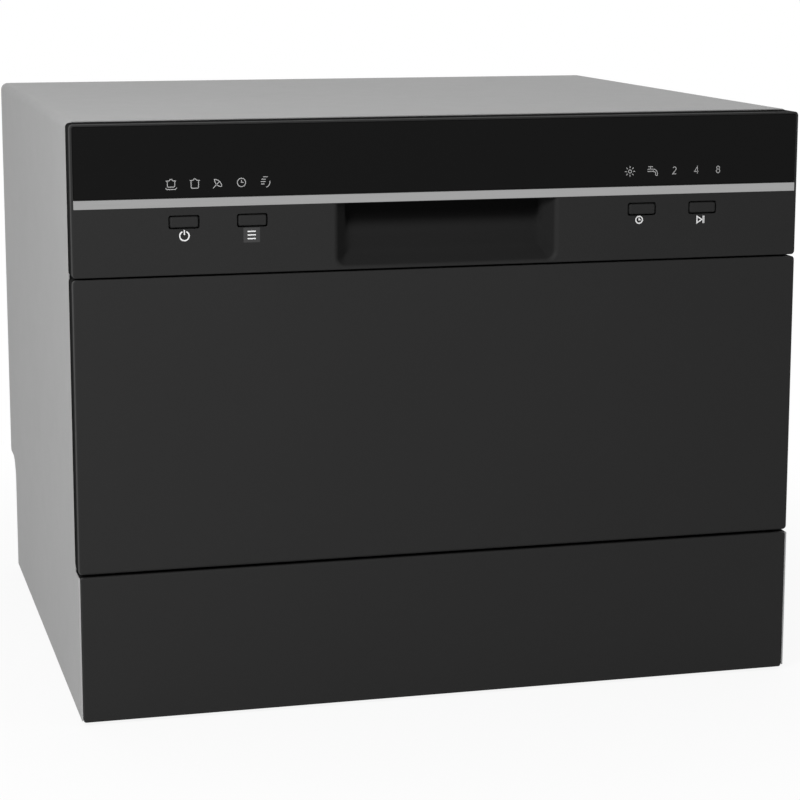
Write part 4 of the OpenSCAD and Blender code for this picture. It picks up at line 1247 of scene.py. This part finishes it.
# the beads' profile is (part of the bead's half width, part of its height); a hole is x, y and its radius,
# and its drip rim (height, wider by)
tub = {
    "halfW": 237.0, "z0": 138.0, "z1": 417.0, "corner": 23.0, "cornerSteps": 8,
    "front": -222.0, "back": 169.0, "flange": 13.0, "flangeHigh": 11.0, "rolled": 1.0, "rolledIn": 0.5,
    "lip": 3.0, "rear": 10.0, "beads": (-168.0, -20.0, 128.0), "beadHalfW": 7.0, "beadH": 1.6,
    "bead": ((-1, 0), (-0.7, 0.12), (-0.4, 0.75), (-0.15, 1), (0.15, 1), (0.4, 0.75), (0.7, 0.12), (1, 0)),
    "holes": ((95, -75, 56), (0, -20, 9.5), (-110, -75, 30.3), (-160, 135, 4.4)),
    "drip": ((0, 1.5), (-0.3, 0.5), (-1.2, 0)),
    "field": ((26, 0.0), (28, 0.3), (31, 1.7), (33, 2.0)),
}


def makeTub(plan):
    shape = bmesh.new()
    halfW, z0, z1, front, back = plan["halfW"], plan["z0"], plan["z1"], plan["front"], plan["back"]
    base = roundLoop(-halfW, z0, halfW, z1, [plan["corner"]] * 4, plan["cornerSteps"])

    def section(y, out, bead=0.0):
        # out moves the whole outline; a bead stands in from the sides and the top only
        points = []
        for x, z, nx, nz in base:
            move = out - bead * ease(-1.0, -0.3, nz)
            points.append((x + nx * move, y, z + nz * min(move, plan["flangeHigh"])))
        return addRing(shape, points)

    lip, rear, flange = plan["lip"], plan["rear"], plan["flange"]
    rings = [section(front + plan["rolled"], flange), section(front, flange - plan["rolledIn"])]
    rings += [section(front + lip * (1 - math.cos(a)), lip * (1 - math.sin(a))) for a in quarterTurns(5)]
    start = len(rings) - 1
    for y in plan["beads"]:
        for along, high in plan["bead"]:
            rings.append(section(y + plan["beadHalfW"] * along, 0.0, plan["beadH"] * high))
    corner = back - rear
    rings.append(section(corner, 0.0))
    end = len(rings)
    rings += [section(corner + rear * math.sin(a), -rear * (1 - math.cos(a))) for a in quarterTurns(6)[1:]]
    bridge(shape, rings)

    # the floor is left open between its two rows of vertices and filled again with its holes
    left, right = plan["cornerSteps"], plan["cornerSteps"] + 1
    walls = rings[start:end]
    for a, b in zip(walls, walls[1:]):
        shape.faces.remove(shape.faces.get([a[left], a[right], b[right], b[left]]))
    edge = [ring[left] for ring in walls] + [ring[right] for ring in walls][::-1]
    holes = []
    for x, y, radius in plan["holes"]:
        drip = [(up, radius + wider) for up, wider in plan["drip"]]
        holes.append(revolve(shape, 2, (x, y, z0), drip, 48)[0])
    fillFlat(shape, edge, holes, (0, 1))

    # the rear wall has a pressed field
    fields = []
    middle = (z0 + z1) / 2
    for inset, step in plan["field"]:
        places = []
        for x, z, nx, nz in base:
            places.append((x - math.copysign(inset, x), back - step, z - math.copysign(inset, z - middle)))
        fields.append(addRing(shape, places))
    bridge(shape, fields)
    fillFlat(shape, rings[-1], [fields[0]])
    fillFlat(shape, fields[-1])
    standIn(shape, "tubShell", "tub", "stainless")


makeTub(tub)


# the groove and the channels are pressed: (inset, way along Y)
liner = {
    "halfW": 272.0, "lowHalfW": 258.0, "z0": 128.0, "step": 156.0, "z1": 434.0, "corner": 4, "sheet": -229.8,
    "thick": 0.8, "face": -215.0, "bulge": (-222, 152, 222, 404), "bulgeR": 22.0, "foot": 3.0, "top": 6.0,
    "opening": (-100.3, 241.7, 80.3, 322.3), "openingR": 2, "openingDeep": 1.2, "groove": 15.0,
    "grooveIn": ((0, 0), (0.8, -0.2), (1.8, -1.0), (2.6, -1.3), (4.6, -1.3), (5.4, -1.0), (6.4, -0.2),
                 (7.2, 0)),
    "channels": ((-150, 346, 150, 354), (-150, 364, 150, 372), (-150, 186, 150, 194), (-150, 206, 150, 214)),
    "channelIn": ((0, 0), (0.7, -0.15), (1.7, -0.8), (2.6, -1.1)), "channelR": 3.99,
}


def makeLiner(plan):
    shape = bmesh.new()
    sheet, face, corner = plan["sheet"], plan["face"], plan["corner"]
    halfW, lowW, z0, step, z1 = plan["halfW"], plan["lowHalfW"], plan["z0"], plan["step"], plan["z1"]
    bend = [(halfW - corner + px, z1 - corner + pz) for px, pz in arc(0, 0, corner, 0, 90, 6)]
    outline = [(-lowW, z0), (lowW, z0), (lowW, step), (halfW, step), *bend]
    outline += [*[(-x, z) for x, z in bend[::-1]], (-halfW, step), (-lowW, step)]
    rim = addRing(shape, [(x, sheet, z) for x, z in outline])
    bridge(shape, [addRing(shape, [(x, sheet - plan["thick"], z) for x, z in outline]), rim], smooth=False)
    base = roundLoop(*plan["bulge"], [plan["bulgeR"]] * 4, 8)

    def section(y, inset):
        return addRing(shape, [(x - nx * inset, y, z - nz * inset) for x, z, nx, nz in base])

    foot, top = plan["foot"], plan["top"]
    rings = [section(sheet + foot * (1 - math.cos(a)), -foot * (1 - math.sin(a))) for a in quarterTurns(6)]
    rings += [section(face - top + top * math.sin(a), top * (1 - math.cos(a))) for a in quarterTurns(6)]
    rings += [section(face + along, plan["groove"] + inset) for inset, along in plan["grooveIn"]]
    bridge(shape, rings)
    fillFlat(shape, rim, [rings[0]])

    hole = [(0, 0), (0, -plan["openingDeep"])]
    holes = [layBox(shape, plan["opening"], face, hole, plan["openingR"], 4)[0]]
    for box in plan["channels"]:
        rows = layBox(shape, box, face, plan["channelIn"], plan["channelR"])
        fillFlat(shape, rows[-1])
        holes.append(rows[0])
    fillFlat(shape, rings[-1], holes)
    standIn(shape, "doorLiner", "door_liner", "stainlessLiner")


makeLiner(liner)
print("tub and liner made")


# the dispenser in the door; its wells are (inset, way along Y), the cap's (way along Y, wider by), and a
# plate is its foot and top over the face, its corner radius and its edge
dispenser = {
    "body": (-100, 242, 80, 322), "bodyPlate": (-17.3, 0, 2.0, 1.2), "face": -213.7, "wellR": 5.0,
    "chamber": (-34, 254, 30, 310), "tray": (-93, 257, -45, 307),
    "chamberIn": ((0, 0), (0.3, -0.1), (0.8, -0.5), (1.1, -1.2), (2.4, -13.4), (3.4, -14.4)),
    "trayIn": ((0, 0), (0.4, -0.1), (1.2, -0.7), (2.0, -1.6), (3.0, -2.2)),
    "cap": (56, 282), "capR": 17.0, "capIn": ((0, 1.2), (-0.3, 0.4), (-1.1, 0.0), (-10.8, 0.0)),
    "guides": ((-99, 244.6, 38, 249.5), (-99, 314.5, 38, 319.4)), "guidePlate": (-1.0, 4.0, 1.4, 1.0),
    "lid": (-38, 249.9, 34, 314.1), "lidPlate": (0.3, 3.0, 2.0, 0.9),
    "ridge": (22, 260, 28, 304), "ridgePlate": (2.8, 6.0, 2.9, 1.8),
    "ribs": (-28, -18, -8, 2, 12), "ribZ": (264, 300), "ribHalf": 1.2, "ribPlate": (2.8, 3.6, 1.15, 0.6),
}


def addRaised(shape, box, plan, plate, holes=()):
    foot, top, radius, edge = plan[plate]
    addPlate(shape, box, plan["face"] + foot, plan["face"] + top, radius, edge, holes)


def makeDispenser(plan):
    shape = bmesh.new()
    y = plan["face"]
    wells = []
    for box, profile in ((plan["chamber"], plan["chamberIn"]), (plan["tray"], plan["trayIn"])):
        rings = layBox(shape, box, y, profile, plan["wellR"])
        fillFlat(shape, rings[-1])
        wells.append(rings[0])
    (x, z), capR = plan["cap"], plan["capR"]
    rings = revolve(shape, 1, (x, y, z), [(along, capR + wider) for along, wider in plan["capIn"]], 64)
    fillFlat(shape, rings[-1])
    wells.append(rings[0])
    addRaised(shape, plan["body"], plan, "bodyPlate", wells)
    for guide in plan["guides"]:
        addRaised(shape, guide, plan, "guidePlate")
    standIn(shape, "dispenserBody", "dispenser", "dispenserPlastic")


def makeDispenserLid(plan):
    # slides between the guides, with a finger ridge and grip ribs
    shape = bmesh.new()
    addRaised(shape, plan["lid"], plan, "lidPlate")
    addRaised(shape, plan["ridge"], plan, "ridgePlate")
    half = plan["ribHalf"]
    z0, z1 = plan["ribZ"]
    for x in plan["ribs"]:
        addRaised(shape, (x - half, z0, x + half, z1), plan, "ribPlate")
    standIn(shape, "dispenserLid", "dispenser_lid", "greyPlastic")


# profiles along Y from the door's dispenser face: (way, radius)
rinseCap = {
    "centre": (56, -213.7, 282), "under": ((-9, 16.9), (0.3, 16.9)),
    "fluted": ((0.3, 19.4), (0.6, 20.0), (2.5, 20.0), (3.1, 19.6), (3.3, 18.8)),
    "hollow": ((3.3, 17.0), (2.7, 16.4), (2.7, 15.0)), "flute": 0.7, "fluteEvery": 5,
    "grip": ((41, -211.2, 279), (71, -205.8, 285)), "gripEdge": 1.4,
}


def makeRinseCap(plan):
    def fluted(r):
        return lambda i: r - (plan["flute"] if i % plan["fluteEvery"] == 0 else 0.0)

    shape = bmesh.new()
    profile = [*plan["under"], *((along, fluted(r)) for along, r in plan["fluted"]), *plan["hollow"]]
    fillFlat(shape, revolve(shape, 1, plan["centre"], profile, 120)[-1])
    standIn(shape, "rinseCap", "rinse_cap", "bluePlastic")
    grip = bmesh.new()
    addBox(grip, *plan["grip"])
    bar = addPiece("rinseCapGrip", finishMesh(grip, "rinseCapGrip"), "rinse_cap", "bluePlastic")
    softenEdges(bar, plan["gripEdge"], 3)


# half of the arm's outline, its side (inset, height), and the profiles of a jet and the hub (height, radius)
sprayArm = {
    "z0": 148.2, "y": -20.0, "jets": 5, "jetX": 43.0, "jetPitch": 24.0,
    "half": [(20, -16.5), (132, -12), (158, -1), (168, -0.5), (172, 6), (172, 14), (168, 20.5), (158, 20.5),
             (122, 14), (20, 16.5)],
    "side": ((2.4, 0.0), (0.9, 0.5), (0.2, 1.6), (0.0, 2.6), (0.0, 5.0), (0.3, 6.3), (1.0, 7.3), (2.0, 7.8),
             (3.0, 8.0)),
    "jet": ((7.0, 4.6), (8.6, 4.2), (9.3, 3.4), (9.4, 2.2), (8.2, 1.9), (7.4, 1.5)),
    "hub": ((-1.0, 15.0), (-1.0, 17.2), (-0.4, 18.0), (10.5, 18.0), (12.2, 17.2), (13.0, 15.6), (13.0, 5.1)),
}


def smoothed(points, rounds=3):
    # corner cutting, which stays inside the outline
    for _ in range(rounds):
        cut = []
        for (xa, ya), (xb, yb) in zip(points, points[1:] + points[:1]):
            cut.append((xa * 0.75 + xb * 0.25, ya * 0.75 + yb * 0.25))
            cut.append((xa * 0.25 + xb * 0.75, ya * 0.25 + yb * 0.75))
        points = cut
    return points


def makeSprayArm(plan):
    outline = smoothed(plan["half"] + [(-x, -y) for x, y in plan["half"]])
    inward = []
    for (xa, ya), (xb, yb) in zip(outline[-1:] + outline[:-1], outline[1:] + outline[:1]):
        way = Vector((xb - xa, yb - ya)).normalized()
        inward.append((-way.y, way.x))
    shape = bmesh.new()
    y0, z0 = plan["y"], plan["z0"]
    rings = []
    for inset, up in plan["side"]:
        points = [(x + nx * inset, y0 + y + ny * inset, z0 + up) for (x, y), (nx, ny) in zip(outline, inward)]
        rings.append(addRing(shape, points))
    bridge(shape, rings)
    fillFlat(shape, rings[0], [], (0, 1))
    fillFlat(shape, rings[-1], [], (0, 1))
    for side in (-1, 1):
        for i in range(plan["jets"]):
            x = side * (plan["jetX"] + plan["jetPitch"] * i)
            fillFlat(shape, revolve(shape, 2, (x, y0, z0), plan["jet"], 20)[-1], [], (0, 1))
    revolve(shape, 2, (0, y0, z0), plan["hub"], 48)
    standIn(shape, "sprayArm", "spray_arm", "greyPlastic")


# the ridge's section is (part of the pitch, part of the depth); its crest fades out at both ends
thread = {"centre": (-150, 213.5, 50), "r": 13.1, "length": 14.5, "pitch": 1.8, "depth": 0.75, "steps": 36,
          "crest": 0.12, "flank": 0.45, "root": -0.2}


def makeThread(name, body, plan, finish):
    # a helical ridge about the Y axis
    shape = bmesh.new()
    x, y, z = plan["centre"]
    steps, crest, flank, root = plan["steps"], plan["crest"], plan["flank"], plan["root"]
    last = int(plan["length"] / plan["pitch"]) * steps
    rows = []
    for i in range(last + 1):
        a = 2 * math.pi * i / steps
        full = min(1.0, i / steps, (last - i) / steps)
        row = []
        for part, high in ((-flank, root), (-crest, full), (crest, full), (flank, root)):
            far = plan["r"] + plan["depth"] * high
            along = plan["pitch"] * i / steps + plan["pitch"] * part
            row.append((x + far * math.cos(a), y + along, z + far * math.sin(a)))
        rows.append(addRing(shape, row))
    bridge(shape, rows, closed=False)
    closeShape(shape, name, body, finish)


makeDispenser(dispenser)
makeDispenserLid(dispenser)
makeRinseCap(rinseCap)
makeSprayArm(sprayArm)
makeThread("inletThread", "root", thread, "whitePlastic")
print("fittings made")
